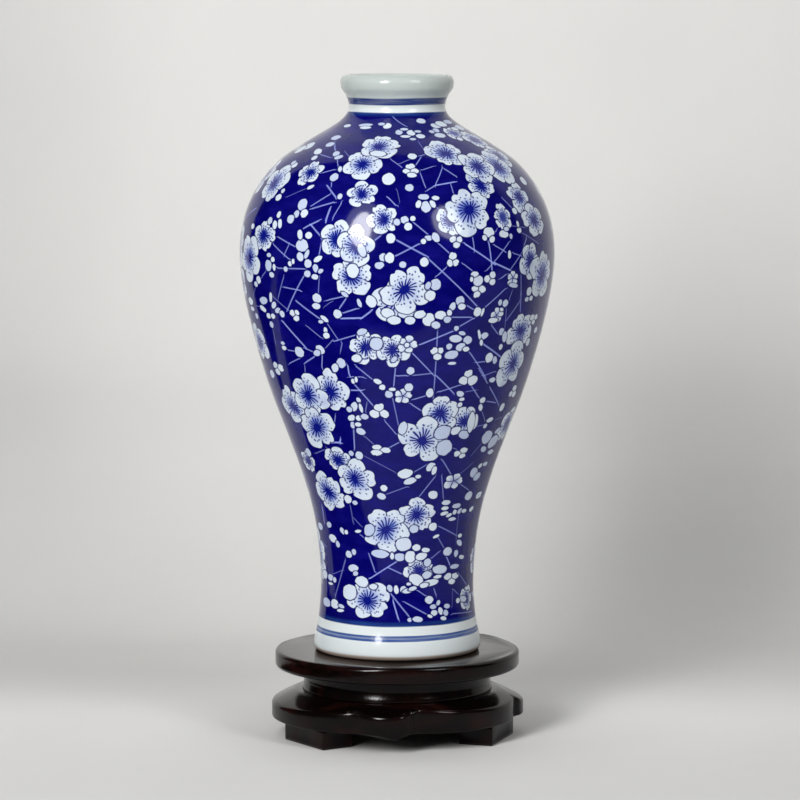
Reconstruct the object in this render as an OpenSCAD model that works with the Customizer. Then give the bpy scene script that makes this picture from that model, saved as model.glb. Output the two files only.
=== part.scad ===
// A plum-vase (meiping) of glazed porcelain on a turned and carved wooden stand.
// Millimetres, +Z up. The origin is on the vase's axis, on the surface that the stand's feet rest on.
// Azimuths are degrees from the front (-Y), positive towards +X.

/* [Vase] */
// Height of the vase alone
vase_h = 220; // [200:1:240]
// Greatest diameter of the vase
vase_d = 120; // [112:1:128]
// Thickness of the porcelain wall
wall = 4.5; // [3.5:0.1:5]
// Radius of the straight bore through the neck
neck_bore_r = 13.8; // [12.8:0.1:14.5]
// Thickness of the vase's floor
floor_t = 5; // [4:0.5:7]
// Height of the hollow under the vase, inside its foot ring
foot_recess_h = 3; // [2:0.5:4]

/* [Stand] */
// Diameter of the round top disc
disc_d = 93.8; // [88:0.2:98]
// Thickness of the top disc
disc_t = 6.5; // [5:0.5:8]
// Diameter of the waist block between disc and plate
waist_d = 73; // [66:1:80]
// Height of the waist block
waist_h = 9; // [7:0.2:12]
// Thickness of the lobed plate
plate_t = 10.4; // [9:0.1:12]
// Depth of the notches between the plate's lobes
notch_depth = 3.6; // [2:0.2:4]
// Height of the feet below the plate
foot_h = 7.6; // [7:0.2:10]
// Width of each foot along the plate's edge
foot_w = 27; // [22:1:30]
// Depth of each foot towards the middle
foot_depth = 13.4; // [10:0.2:15]

/* [Fastenings] */
// Diameter of the wood screws' shanks
screw_d = 3; // [2.5:0.1:3.5]
// Diameter of the screws' countersunk heads
screw_head_d = 6; // [5:0.2:7]
// Diameter of the dowels that hold the feet
dowel_d = 3.2; // [2.4:0.2:4]
// Length of each dowel
dowel_l = 9; // [8:0.5:9.5]

/* [Hidden] */
$fn = 96;

stand_h = foot_h + plate_t + waist_h + disc_t;
plate_z = foot_h;
waist_z = plate_z + plate_t;
disc_z = waist_z + waist_h;

// The vase's outside, as [radius, height] stations of a vase 120 wide and 220 high
stations = [
    [32.1, 2.4], [31.5, 6.4], [30.3, 12], [29.3, 24], [29.9, 38], [32.1, 53],
    [36.5, 68.5], [42.2, 84], [48.3, 100], [53.9, 118], [58.2, 136], [60, 151.5],
    [58.5, 165], [53.4, 177.2], [45.5, 187], [35.2, 194.3], [25.2, 200.2],
    [19.9, 204.3], [18.3, 208], [19.4, 212], [21.2, 214.8], [21.6, 217]
];
shoulder_end = 16; // the last station whose inside follows the outside
curve_steps = 4; // samples between two stations
width_scale = vase_d / 120;
height_scale = vase_h / 220;

// Heights of the joints where the potter's sections are luted together
foot_joint_z = 24 * height_scale;
body_joint_z = 151.5 * height_scale;
neck_joint_z = 200.2 * height_scale;

// The plate's lobes: [first azimuth, last azimuth, radius at first, radius at last]
lobes = [[-19, 8, 46.5, 46.5], [8, 84, 43.5, 47.5], [84, 111, 48.8, 49.2],
         [111, 215, 48, 48], [215, 242, 46.5, 46.5], [242, 341, 49.4, 46.5]];
lobe_steps = 20;
lobe_fullness = 0.4; // below 1 makes a lobe broad and its notch sharp
shoulder_r = 49.6; // the plate's top falls away from the flat towards this radius
shoulder_flat_r = 39;
shoulder_h = 5.4;
shoulder_bulge = 1.8; // 1 is a quarter ellipse, 2 is a straight slope
foot_azimuths = [-56, 71, 190];
foot_face_r = 42.8; // the flat outer face of a foot, from the axis
cusp_azimuths = [-1.5, 131, 248];
cusp_w = 12;
cusp_h = 1.9;
cusp_depth = 4;
screw_azimuths = [8, 128, 248];
screw_circle_r = 24;
screw_l = 24;
screw_tip_l = 4;
screw_head_h = 2.2;
screw_slot_w = 0.9;
screw_slot_depth = 1;
fit_gap = 0.05; // radial clearance round screws and dowels
dowel_circle_r = 36;
dowel_spacing = 14;
dowel_in_foot = 4.8;

function spline(a, b, c, d, t) =
    0.5 * (2 * b + (c - a) * t + (2 * a - 5 * b + 4 * c - d) * t * t
           + (3 * b - a - 3 * c + d) * t * t * t);

function station(i) = let (s = stations[max(0, min(len(stations) - 1, i))])
    [s[0] * width_scale, s[1] * height_scale];

function outside(last) = [
    for (i = [0 : last - 1]) for (k = [0 : curve_steps - 1])
        spline(station(i - 1), station(i), station(i + 1), station(i + 2), k / curve_steps),
    station(last)
];

// A point moved into the wall, square to the line between its two neighbours
function inward(p, before, after) =
    let (along = (after - before) / norm(after - before))
    [p[0] - wall * along[1], p[1] + wall * along[0]];

function inside_wall() =
    let (o = outside(shoulder_end))
    [for (i = [len(o) - 2 : -1 : 1]) inward(o[i], o[i - 1], o[i + 1])];

function reversed(list) = [for (i = [len(list) - 1 : -1 : 0]) list[i]];

// The mouth: a rounded lip, an easy flare inside it, then the straight bore
lip_centre_r = (station(len(stations) - 1)[0] + neck_bore_r + 2.8) / 2;
lip_half_w = station(len(stations) - 1)[0] - lip_centre_r;
lip_z = station(len(stations) - 1)[1];
lip_h = vase_h - lip_z;
bore_top_z = lip_z - 3.5;
bore_bottom_z = neck_joint_z + 3.4;
lip = [for (a = [15 : 15 : 165]) [lip_centre_r + lip_half_w * cos(a), lip_z + lip_h * sin(a)]];
flare = [for (k = [0 : 6]) let (t = 1 - k / 6)
    [neck_bore_r + 2.8 * (3 * t * t - 2 * t * t * t), bore_top_z + 3.5 * t]];
throat = [[neck_bore_r, bore_bottom_z], [neck_bore_r + 0.8, bore_bottom_z - 1.6],
          [neck_bore_r + 3, bore_bottom_z - 3.6]];

// The hollow's floor, with a round corner, and the foot ring under it
floor_z = foot_recess_h + floor_t;
corner_r = 4;
inner_foot_r = 25.2 * width_scale;
floor_corner = [for (a = [0 : -18 : -90])
    [inner_foot_r - corner_r + corner_r * cos(a), floor_z + corner_r + corner_r * sin(a)]];
ring_outer_r = station(0)[0];
ring_edge = [for (a = [-90 : 18 : -18])
    [ring_outer_r - 2 + 2 * cos(a), station(0)[1] + station(0)[1] * sin(a)]];
ring_inner_r = 27.4 * width_scale;

function above(list, z) = [for (p = list) if (p[1] > z) p];

vase_profile = concat(
    [[0, floor_z - floor_t], [ring_inner_r - 1.2, foot_recess_h], [ring_inner_r, 0]],
    ring_edge,
    outside(len(stations) - 1),
    lip,
    flare,
    throat,
    above(inside_wall(), floor_z + corner_r + 1),
    floor_corner,
    [[0, floor_z]]
);

module vase_section(low, high) {
    color("#eef1ee")
    translate([0, 0, stand_h])
    intersection() {
        rotate_extrude() polygon(vase_profile);
        translate([0, 0, low]) cylinder(h = high - low, r = vase_d);
    }
}

module mouth_and_neck() vase_section(neck_joint_z, vase_h + 1);
module shoulder_section() vase_section(body_joint_z, neck_joint_z);
module body_section() vase_section(foot_joint_z, body_joint_z);
module foot_section() vase_section(-1, foot_joint_z);

function at(azimuth, r) = [r * sin(azimuth), -r * cos(azimuth)];

function lobe_r(lobe, u) =
    lobe[2] + (lobe[3] - lobe[2]) * u - notch_depth * (1 - pow(sin(180 * u), lobe_fullness));

plate_outline = [
    for (lobe = lobes) for (k = [0 : lobe_steps - 1]) let (u = k / lobe_steps)
        at(lobe[0] + (lobe[1] - lobe[0]) * u, lobe_r(lobe, u))
];

module around(azimuth) rotate(azimuth - 90) children();

module round_board(r, h, edge) {
    rotate_extrude()
    polygon(concat(
        [[0, 0]],
        [for (a = [-90 : 15 : 0]) [r - edge + edge * cos(a), edge + edge * sin(a)]],
        [for (a = [0 : 15 : 90]) [r - edge + edge * cos(a), h - edge + edge * sin(a)]],
        [[0, h]]
    ));
}

module screw_shape(extra) {
    for (azimuth = screw_azimuths)
        around(azimuth) translate([screw_circle_r, 0, plate_z]) {
            cylinder(h = screw_head_h, r1 = screw_head_d / 2 + extra, r2 = screw_d / 2 + extra);
            cylinder(h = screw_l - screw_tip_l, r = screw_d / 2 + extra);
            translate([0, 0, screw_l - screw_tip_l])
                cylinder(h = screw_tip_l + extra, r1 = screw_d / 2 + extra, r2 = 0.3 + extra);
        }
}

module dowel_shape(extra) {
    for (azimuth = foot_azimuths) around(azimuth)
        for (side = [-1, 1])
            translate([dowel_circle_r, side * dowel_spacing / 2, plate_z - dowel_in_foot - extra])
                cylinder(h = dowel_l + 2 * extra, r = dowel_d / 2 + extra);
}

module top_disc() {
    color("#2a1512")
    difference() {
        translate([0, 0, disc_z]) round_board(disc_d / 2, disc_t, 1.8);
        screw_shape(fit_gap);
    }
}

module waist_block() {
    color("#24110f")
    difference() {
        translate([0, 0, waist_z]) cylinder(h = waist_h, d = waist_d);
        screw_shape(fit_gap);
    }
}

// The blank the plate is sawn from, its top turned flat in the middle and sloping at the rim
module plate_blank() {
    translate([0, 0, plate_z])
    rotate_extrude()
    polygon(concat(
        [[0, 0], [shoulder_r, 0]],
        [for (a = [0 : 10 : 90])
            [shoulder_flat_r + (shoulder_r - shoulder_flat_r) * pow(cos(a), shoulder_bulge),
             plate_t - shoulder_h + shoulder_h * pow(sin(a), shoulder_bulge)]],
        [[0, plate_t]]
    ));
}

// The small pointed drop carved in the plate's lower edge between two feet
module cusp(azimuth) {
    outer_r = 42;
    around(azimuth)
    translate([outer_r - cusp_depth, 0, plate_z])
    rotate([90, 0, 90])
    linear_extrude(cusp_depth)
    polygon([[-cusp_w / 2, 0.2], [-cusp_w / 2, 0], [-cusp_w / 6, -cusp_h * 0.35], [0, -cusp_h],
             [cusp_w / 6, -cusp_h * 0.35], [cusp_w / 2, 0], [cusp_w / 2, 0.2]]);
}

module lobed_plate() {
    color("#2a1512")
    difference() {
        union() {
            intersection() {
                translate([0, 0, plate_z]) linear_extrude(plate_t) polygon(plate_outline);
                plate_blank();
            }
            for (azimuth = cusp_azimuths) cusp(azimuth);
        }
        screw_shape(fit_gap);
        dowel_shape(fit_gap);
    }
}

module stand_foot(azimuth) {
    color("#1c0d0c")
    difference() {
        around(azimuth) translate([foot_face_r - foot_depth, -foot_w / 2, 0])
            cube([foot_depth, foot_w, foot_h]);
        dowel_shape(fit_gap);
    }
}

module foot_front_left() stand_foot(foot_azimuths[0]);
module foot_right() stand_foot(foot_azimuths[1]);
module foot_back() stand_foot(foot_azimuths[2]);

module waist_screws() {
    color("#8f8f8a")
    difference() {
        screw_shape(0);
        for (azimuth = screw_azimuths)
            around(azimuth)
            translate([screw_circle_r - screw_head_d, -screw_slot_w / 2, plate_z - 1])
            cube([2 * screw_head_d, screw_slot_w, 1 + screw_slot_depth]);
    }
}

module foot_dowels() {
    color("#b98d5a") dowel_shape(0);
}

mouth_and_neck();
shoulder_section();
body_section();
foot_section();
top_disc();
waist_block();
lobed_plate();
foot_front_left();
foot_right();
foot_back();
waist_screws();
foot_dowels();
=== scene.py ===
"""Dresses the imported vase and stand: painted porcelain, clear glaze and lacquered wood.

Positions around the vase are given as an azimuth, in degrees from the front (-Y) and positive
towards +X, and a reach, in millimetres along the vase's outside from the foot's rounded edge up.
"""

from __future__ import annotations

import logging
import math
import random
from dataclasses import dataclass, field
from enum import Enum
from functools import cached_property

import bmesh
import bpy
import numpy as np
from mathutils import Matrix, Vector

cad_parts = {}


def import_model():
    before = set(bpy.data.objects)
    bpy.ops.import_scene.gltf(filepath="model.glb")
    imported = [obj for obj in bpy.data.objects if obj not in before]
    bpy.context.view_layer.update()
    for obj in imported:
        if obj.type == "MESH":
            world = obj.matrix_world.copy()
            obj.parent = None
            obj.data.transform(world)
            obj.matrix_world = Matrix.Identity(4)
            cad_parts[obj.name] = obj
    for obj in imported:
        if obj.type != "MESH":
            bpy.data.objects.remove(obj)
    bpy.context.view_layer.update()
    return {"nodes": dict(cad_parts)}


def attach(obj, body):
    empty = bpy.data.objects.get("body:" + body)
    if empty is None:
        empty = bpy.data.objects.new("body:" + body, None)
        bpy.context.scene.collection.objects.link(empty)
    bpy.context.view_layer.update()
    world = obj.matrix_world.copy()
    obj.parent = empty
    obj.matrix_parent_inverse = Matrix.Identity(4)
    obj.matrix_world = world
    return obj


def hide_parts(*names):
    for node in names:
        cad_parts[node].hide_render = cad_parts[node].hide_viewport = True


log = logging.getLogger("vase")
Points = list[tuple[float, float]]

MM = 0.001
STAND_H = 33.5  # from the table to the disc's top, where the vase stands
LEVEL = 1e-7  # two points this near in height are level, in metres
VASE_BODY = "vase"
STAND_BODY = "stand"


# ---------------------------------------------------------------- shader arithmetic


class Num:
    """A number in a node tree, which takes plain arithmetic."""

    def __init__(self, tree: bpy.types.NodeTree, socket: bpy.types.NodeSocket) -> None:
        """Wraps a socket.

        Args:
            tree: the node tree that holds the socket.
            socket: an output socket with a number in it.
        """
        self.tree = tree
        self.socket = socket

    def math(self, operation: str, *others: Num | float, clamp: bool = False) -> Num:
        """One Math node with this number as its first input.

        Args:
            operation: the Math node's operation.
            *others: its other inputs.
            clamp: whether the result is kept from 0 to 1.

        Returns:
            The node's result.
        """
        node = self.tree.nodes.new("ShaderNodeMath")
        node.operation = operation
        node.use_clamp = clamp
        for place, value in zip(node.inputs, (self, *others)):
            if isinstance(value, Num):
                self.tree.links.new(value.socket, place)
            else:
                place.default_value = value
        return Num(self.tree, node.outputs[0])

    def __add__(self, other: Num | float) -> Num:
        """Sum."""
        return self.math("ADD", other)

    def __sub__(self, other: Num | float) -> Num:
        """Difference."""
        return self.math("SUBTRACT", other)

    def __mul__(self, other: Num | float) -> Num:
        """Product."""
        return self.math("MULTIPLY", other)

    def __truediv__(self, other: Num | float) -> Num:
        """Quotient."""
        return self.math("DIVIDE", other)

    def clamped(self) -> Num:
        """This number kept from 0 to 1."""
        return self.math("ADD", 0.0, clamp=True)

    def inverse(self) -> Num:
        """One less this number."""
        return self.math("MULTIPLY_ADD", -1.0, 1.0)

    def ramp(self, low: float, high: float) -> Num:
        """Smooth step from 0 at low to 1 at high.

        Args:
            low: the value that gives 0.
            high: the value that gives 1; below low for a falling ramp.

        Returns:
            A number from 0 to 1.
        """
        node = self.tree.nodes.new("ShaderNodeMapRange")
        node.interpolation_type = "SMOOTHSTEP"
        self.tree.links.new(self.socket, node.inputs["Value"])
        ends = ((low, 0.0), (high, 1.0)) if low < high else ((high, 1.0), (low, 0.0))
        node.inputs["From Min"].default_value, node.inputs["To Min"].default_value = ends[0]
        node.inputs["From Max"].default_value, node.inputs["To Max"].default_value = ends[1]
        return Num(self.tree, node.outputs["Result"])

    def band(self, low: float, low_full: float, high_full: float, high: float) -> Num:
        """1 within a band and 0 outside it, with a smooth step at each edge."""
        return self.ramp(low, low_full) * self.ramp(high, high_full)


class Tree:
    """Short names for the nodes that this object's finishes are made of."""

    def __init__(self, tree: bpy.types.NodeTree) -> None:
        """Wraps an empty node tree."""
        self.tree = tree

    def node(self, kind: str, **settings: object) -> bpy.types.Node:
        """A new node.

        Args:
            kind: the node's type, without "ShaderNode".
            **settings: properties to set on it.

        Returns:
            The node.
        """
        node = self.tree.nodes.new("ShaderNode" + kind)
        for name, value in settings.items():
            setattr(node, name, value)
        return node

    def feed(self, place: bpy.types.NodeSocket, value: object) -> None:
        """Links or sets one input.

        Args:
            place: the input socket.
            value: a Num, a socket, or a plain value.
        """
        if isinstance(value, Num):
            value = value.socket
        if isinstance(value, bpy.types.NodeSocket):
            self.tree.links.new(value, place)
        else:
            place.default_value = value

    def split(self, vector: bpy.types.NodeSocket) -> tuple[Num, Num, Num]:
        """The three parts of a vector."""
        node = self.node("SeparateXYZ")
        self.feed(node.inputs[0], vector)
        return tuple(Num(self.tree, o) for o in node.outputs)

    def join(self, x: Num | float, y: Num | float, z: Num | float = 0.0) -> bpy.types.NodeSocket:
        """A vector of three numbers."""
        node = self.node("CombineXYZ")
        for place, value in zip(node.inputs, (x, y, z)):
            self.feed(place, value)
        return node.outputs[0]

    def attribute(self, name: str) -> bpy.types.NodeSocket:
        """The vector that a mesh stores under a name."""
        return self.node("Attribute", attribute_name=name).outputs["Vector"]

    def place(self) -> bpy.types.NodeSocket:
        """The point in the object's own frame, in metres, which moves with the object."""
        return self.node("TexCoord").outputs["Object"]

    def noise(self, where: object, scale: float, detail: float = 2.0, rough: float = 0.5) -> Num:
        """Smooth noise.

        Args:
            where: the vector it is read at.
            scale: its scale.
            detail: its octaves.
            rough: its roughness.

        Returns:
            A number around 0.5.
        """
        node = self.node("TexNoise")
        self.feed(node.inputs["Vector"], where)
        node.inputs["Scale"].default_value = scale
        node.inputs["Detail"].default_value = detail
        node.inputs["Roughness"].default_value = rough
        return Num(self.tree, node.outputs[0])

    def two_noises(self, where: object, scale: float) -> tuple[Num, Num]:
        """Two unrelated smooth noises from one texture."""
        node = self.node("TexNoise")
        self.feed(node.inputs["Vector"], where)
        node.inputs["Scale"].default_value = scale
        node.inputs["Detail"].default_value = 1.0
        parts = self.split(node.outputs["Color"])
        return parts[0], parts[1]

    def chance(self, where: object) -> tuple[Num, Num, Num]:
        """Three random numbers, the same wherever the vector is the same."""
        node = self.node("TexWhiteNoise", noise_dimensions="3D")
        self.feed(node.inputs["Vector"], where)
        return self.split(node.outputs["Color"])

    def mix(self, share: Num | float, a: object, b: object) -> bpy.types.NodeSocket:
        """A colour between two.

        Args:
            share: 0 for a, 1 for b.
            a: a colour or a colour socket.
            b: a colour or a colour socket.

        Returns:
            The mixed colour.
        """
        node = self.node("Mix", data_type="RGBA")
        self.feed(node.inputs[0], share)
        for place, colour in ((node.inputs[6], a), (node.inputs[7], b)):
            self.feed(place, (*colour, 1.0) if isinstance(colour, tuple) else colour)
        return node.outputs[2]

    def bump(self, height: Num, depth: float, strength: float = 1.0) -> bpy.types.NodeSocket:
        """A bumped normal.

        Args:
            height: the relief, from 0 to 1.
            depth: how deep the relief is, in metres.
            strength: the bump's share.

        Returns:
            The normal.
        """
        node = self.node("Bump")
        node.inputs["Strength"].default_value = strength
        node.inputs["Distance"].default_value = depth
        self.feed(node.inputs["Height"], height)
        return node.outputs["Normal"]


def new_material(name: str) -> tuple[bpy.types.Material, Tree, bpy.types.Node]:
    """A material with a Principled surface.

    Args:
        name: the material's name.

    Returns:
        The material, its tree, and its Principled node.
    """
    material = bpy.data.materials.new(name)
    material.use_nodes = True
    material.node_tree.nodes.clear()
    tree = Tree(material.node_tree)
    surface = tree.node("BsdfPrincipled")
    out = tree.node("OutputMaterial")
    tree.feed(out.inputs["Surface"], surface.outputs[0])
    return material, tree, surface


# ---------------------------------------------------------------- the painted decoration


class Motif(Enum):
    """What the painter puts down in one go: petals, how far out they sit, and the blue wash."""

    BLOSSOM = (5, 0.56, 1.0)
    OPEN_BLOSSOM = (5, 0.60, 0.55)
    SPLIT_BUD = (3, 0.52, 0.0)
    DROP = (1, 0.0, 0.0)
    SHADED_DROP = (1, 0.0, 0.35)


@dataclass(frozen=True)
class Stroke:
    """One motif on the vase, painted over those before it."""

    motif: Motif
    azimuth: float
    reach: float
    wide: float
    high: float
    turn: float = 0.0


@dataclass(frozen=True)
class Twig:
    """One thin pale line, from one azimuth and reach to another."""

    azimuth_a: float
    reach_a: float
    azimuth_b: float
    reach_b: float
    width: float = 0.5
    light: float = 0.6


@dataclass(frozen=True)
class CobaltPainting:
    """The colours of the cobalt painting under the glaze, and the heights of its bands."""

    ground: tuple = (0.0012, 0.0008, 0.112)
    ground_light: tuple = (0.006, 0.005, 0.19)
    outline: tuple = (0.0020, 0.0016, 0.112)
    petal: tuple = (0.63, 0.71, 0.81)
    wash: tuple = (0.085, 0.15, 0.56)
    ink: tuple = (0.004, 0.008, 0.19)
    line: tuple = (0.34, 0.41, 0.90)
    porcelain: tuple = (0.74, 0.79, 0.80)
    # the lip's grey-green glaze, painted darker as shade on its rounded faces that turn up and down
    lip: tuple = (0.47, 0.52, 0.50)
    ring: tuple = (0.010, 0.028, 0.16)
    foot_line: tuple = (0.018, 0.068, 0.28)
    bare: tuple = (0.33, 0.22, 0.15)
    pale_shade: tuple = (0.66, 0.75, 0.77)
    foot_band: tuple = (13.25, 12.75)  # heights are in millimetres above the vase's foot
    foot_edge: tuple = (15.2, 13.8)
    low_ring: tuple = (7.25, 7.55, 9.45, 9.75)
    low_ring_thin: tuple = (8.15, 8.5, 8.7, 9.0)  # between its two strokes
    mouth_edge: tuple = (204.3, 205.6)
    mouth_band: tuple = (205.9, 206.4)
    high_ring: tuple = (208.7, 209.1, 211.2, 211.7)
    lip_tint_and_shade: tuple = (205.0, 213.0)
    bare_rim: tuple = (2.2, 1.2)
    hand: float = 0.34  # how unsteady the strokes' edges are, as a share of their radius
    rays: int = 18  # stamens in each of a blossom's two rounds
    layers: int = 4
    twig_layers: int = 3

    def stroke_group(self) -> bpy.types.NodeTree:
        """The node group that paints one stroke.

        Returns:
            A group that takes the point within the stroke and the stroke's make, and gives its
            colour, its cover, and the cover of the dark outline round it.
        """
        group = bpy.data.node_groups.new("painted_stroke", "ShaderNodeTree")
        for name, way, kind in (
            ("Spot", "INPUT", "NodeSocketVector"),
            ("Make", "INPUT", "NodeSocketVector"),
            ("Colour", "OUTPUT", "NodeSocketColor"),
            ("Cover", "OUTPUT", "NodeSocketFloat"),
            ("Outline", "OUTPUT", "NodeSocketFloat"),
        ):
            group.interface.new_socket(name, in_out=way, socket_type=kind)
        t = Tree(group)
        start = group.nodes.new("NodeGroupInput")
        end = group.nodes.new("NodeGroupOutput")
        u, v, seed = t.split(start.outputs["Spot"])
        seed = (seed + 0.5).math("FLOOR")  # a whole number again after it is carried across a face
        make, apart, wash = t.split(start.outputs["Make"])
        petals = make.math("FLOOR")
        size = make.math("FRACT") * 100.0  # the stroke's radius in millimetres

        # an unsteady hand
        wobble_u, wobble_v = t.two_noises(t.join(u, v, seed * 3.7), 1.25)
        u = u + (wobble_u - 0.5) * self.hand
        v = v + (wobble_v - 0.5) * self.hand
        far = (u * u + v * v).math("SQRT")
        angle = v.math("ARCTAN2", u)

        # which petal, and the angle from its middle
        turned = angle * petals / math.tau + 0.5
        petal = turned.math("FLOOR")
        off = (turned - petal - 0.5) * math.tau / petals
        grow, notch, shift = t.chance(t.join(seed, petal, 0.5))
        several = petals.ramp(1.4, 1.6)
        far = far / ((grow - 0.5) * 0.24 * several + 0.97)

        # a petal is a circle set out from the middle, sometimes with a nick in its tip
        spread = (far * far + apart * apart - far * apart * off.math("COSINE") * 2.0).math("SQRT")
        nick = ((off - (shift - 0.5) * 0.3).math("ABSOLUTE")).ramp(0.20, 0.0)
        nick = nick * notch.ramp(0.35, 0.9) * several * 0.11
        edge = (spread - (apart.inverse() - nick)) * size  # millimetres outside the petal's edge
        edge = edge.math("MINIMUM", (far - 0.45) * size + several.inverse() * 99.0)
        cover = edge.ramp(0.13, -0.13)
        outline = edge.ramp(0.66, 0.34)

        # the dark line between two petals
        seam = far * ((petals.math("POWER", -1.0) * math.pi) - off.math("ABSOLUTE")).math("SINE")
        seam = (seam * size).ramp(0.34, 0.12) * several
        seam = seam * (far.ramp(0.50, 0.66) + size.ramp(4.9, 4.3)).clamped()  # right across a bud

        # stamens: fine strokes that run outwards, and dots beyond their ends
        heart = far.ramp(0.22, 0.12)
        ray, dot = self.stamens(t, angle, far, size, seed, 0.0)
        _, more = self.stamens(t, angle, far, size, seed + 31.0, 0.085)
        flower = several * (wash * 3.0).clamped() * size.ramp(3.6, 5.4)
        ink = (ray + dot * 0.85 + more * 0.8 + heart).clamped() * flower
        cloud = t.noise(t.join(u, v, seed * 1.9), 2.1, 2.0)
        thin, _, _ = t.chance(t.join(seed, 7.5, 4.5))
        tint = cloud.ramp(0.46, 0.82) * (wash * 0.5 + 0.16)
        tint = tint + thin.ramp(0.35, 1.0) * several.inverse() * 0.55  # some drops are tinted all over
        blue = (far.ramp(0.74, 0.20) * wash * 0.78 * several + tint * 0.5).clamped()

        colour = t.mix(blue, self.petal, self.wash)
        colour = t.mix(ink, colour, self.ink)
        colour = t.mix(seam * 0.92, colour, self.outline)
        t.feed(end.inputs["Colour"], colour)
        t.feed(end.inputs["Cover"], cover)
        t.feed(end.inputs["Outline"], outline)
        return group

    def stamens(self, t: Tree, angle: Num, far: Num, size: Num, seed: Num, out: float) -> tuple[Num, Num]:
        """Fine strokes round a blossom's middle, each with a dot beyond it.

        Args:
            t: the group's tree.
            angle: the angle round the middle.
            far: the distance from the middle, 1 at the petals' tips.
            size: the blossom's radius in millimetres.
            seed: a number that differs from blossom to blossom.
            out: how much farther out than usual they end.

        Returns:
            The strokes' cover and the dots' cover.
        """
        turned = angle * self.rays / math.tau + seed * 0.37
        which = turned.math("FLOOR")
        length, sway, gap = t.chance(t.join(seed, which, 2.5))
        off = (turned - which - 0.5 + (sway - 0.5) * 0.4) * math.tau / self.rays
        across = off.math("SINE") * far * size
        end = length * 0.16 + (0.40 + out)
        stroke = across.math("ABSOLUTE").ramp(0.38, 0.19) * (far - end).ramp(0.02, -0.03)
        beyond = (far - end - (gap * 0.05 + 0.085)) * size
        dot = (across * across + beyond * beyond).math("SQRT").ramp(0.46, 0.25)
        return stroke, dot

    def dress(self) -> bpy.types.Material:
        """The painted and glazed porcelain.

        Returns:
            The material, which reads the strokes and twigs that a mesh stores, and the height.
        """
        material, t, surface = new_material("painted_porcelain")
        place = t.place()
        x, y, z = t.split(place)
        height = z * 1000.0 - STAND_H

        # the cobalt ground, laid with a loaded brush
        brush = t.noise(t.join(x * 40.0, y * 40.0, z * 90.0), 2.4, 3.0, 0.6)
        speck = t.noise(place, 900.0, 2.0)
        loaded = (brush.ramp(0.36, 0.80) * 0.7 + (speck - 0.5) * 0.3).clamped()
        colour = t.mix(loaded, self.ground, self.ground_light)

        for layer in range(self.twig_layers):
            across, along, light = t.split(t.attribute(f"twig_{layer}"))
            uneven = t.noise(t.join(along * 0.35, across * 0.2, light * 50.0), 1.6, 2.0)
            body = (across.math("ABSOLUTE") + (uneven - 0.5) * 0.5).ramp(1.0, 0.5)
            colour = t.mix(body * light * (uneven * 0.7 + 0.6), colour, self.line)

        group = self.stroke_group()
        for layer in range(self.layers):
            stroke = t.node("Group", node_tree=group)
            t.feed(stroke.inputs["Spot"], t.attribute(f"spot_{layer}"))
            t.feed(stroke.inputs["Make"], t.attribute(f"make_{layer}"))
            outline = Num(t.tree, stroke.outputs["Outline"]) * 0.9
            colour = t.mix(outline, colour, self.outline)
            colour = t.mix(Num(t.tree, stroke.outputs["Cover"]), colour, stroke.outputs["Colour"])

        # plain bands at the mouth and the foot, with their painted rings
        hand = (t.noise(place, 45.0, 1.0) - 0.5) * 0.7
        level = height + hand
        streaks = t.noise(t.join(x * 60.0, y * 60.0, z * 900.0), 1.0, 3.0, 0.65)
        pale = t.mix(t.noise(place, 70.0, 2.0).ramp(0.3, 0.8) * 0.25, self.porcelain, self.pale_shade)
        at_foot = level.ramp(*self.foot_band)
        at_mouth = level.ramp(*self.mouth_band)
        edge = (level.ramp(*self.foot_edge) + level.ramp(*self.mouth_edge)).clamped()
        colour = t.mix(edge * 0.85, colour, t.mix(streaks.ramp(0.4, 0.7), self.ring, self.foot_line))
        # towards the lip the pale glaze turns grey-green and darker: its tint, and painted shade
        pale = t.mix(level.ramp(*self.lip_tint_and_shade), pale, self.lip)
        colour = t.mix((at_foot + at_mouth).clamped(), colour, pale)
        low_ring = level.band(*self.low_ring)
        thin = level.band(*self.low_ring_thin)
        laid = streaks.ramp(0.2, 0.75) * 0.2 + 0.80
        colour = t.mix(low_ring * laid * (thin * -0.20 + 1.0), colour, self.foot_line)
        high_ring = level.band(*self.high_ring)
        colour = t.mix(high_ring * (streaks.ramp(0.25, 0.7) * 0.2 + 0.8), colour, self.ring)
        bare = (height + hand * 0.6).ramp(*self.bare_rim)
        colour = t.mix(bare * 0.8, colour, self.bare)

        t.feed(surface.inputs["Base Color"], colour)
        t.feed(surface.inputs["Roughness"], bare * 0.5 + (t.noise(place, 160.0, 2.0) * 0.05 + 0.065))
        surface.inputs["IOR"].default_value = 1.42
        ripple = t.noise(place, 85.0, 2.0, 0.4)
        t.feed(surface.inputs["Normal"], t.bump(ripple, 0.00022, 0.35))
        return material


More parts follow.
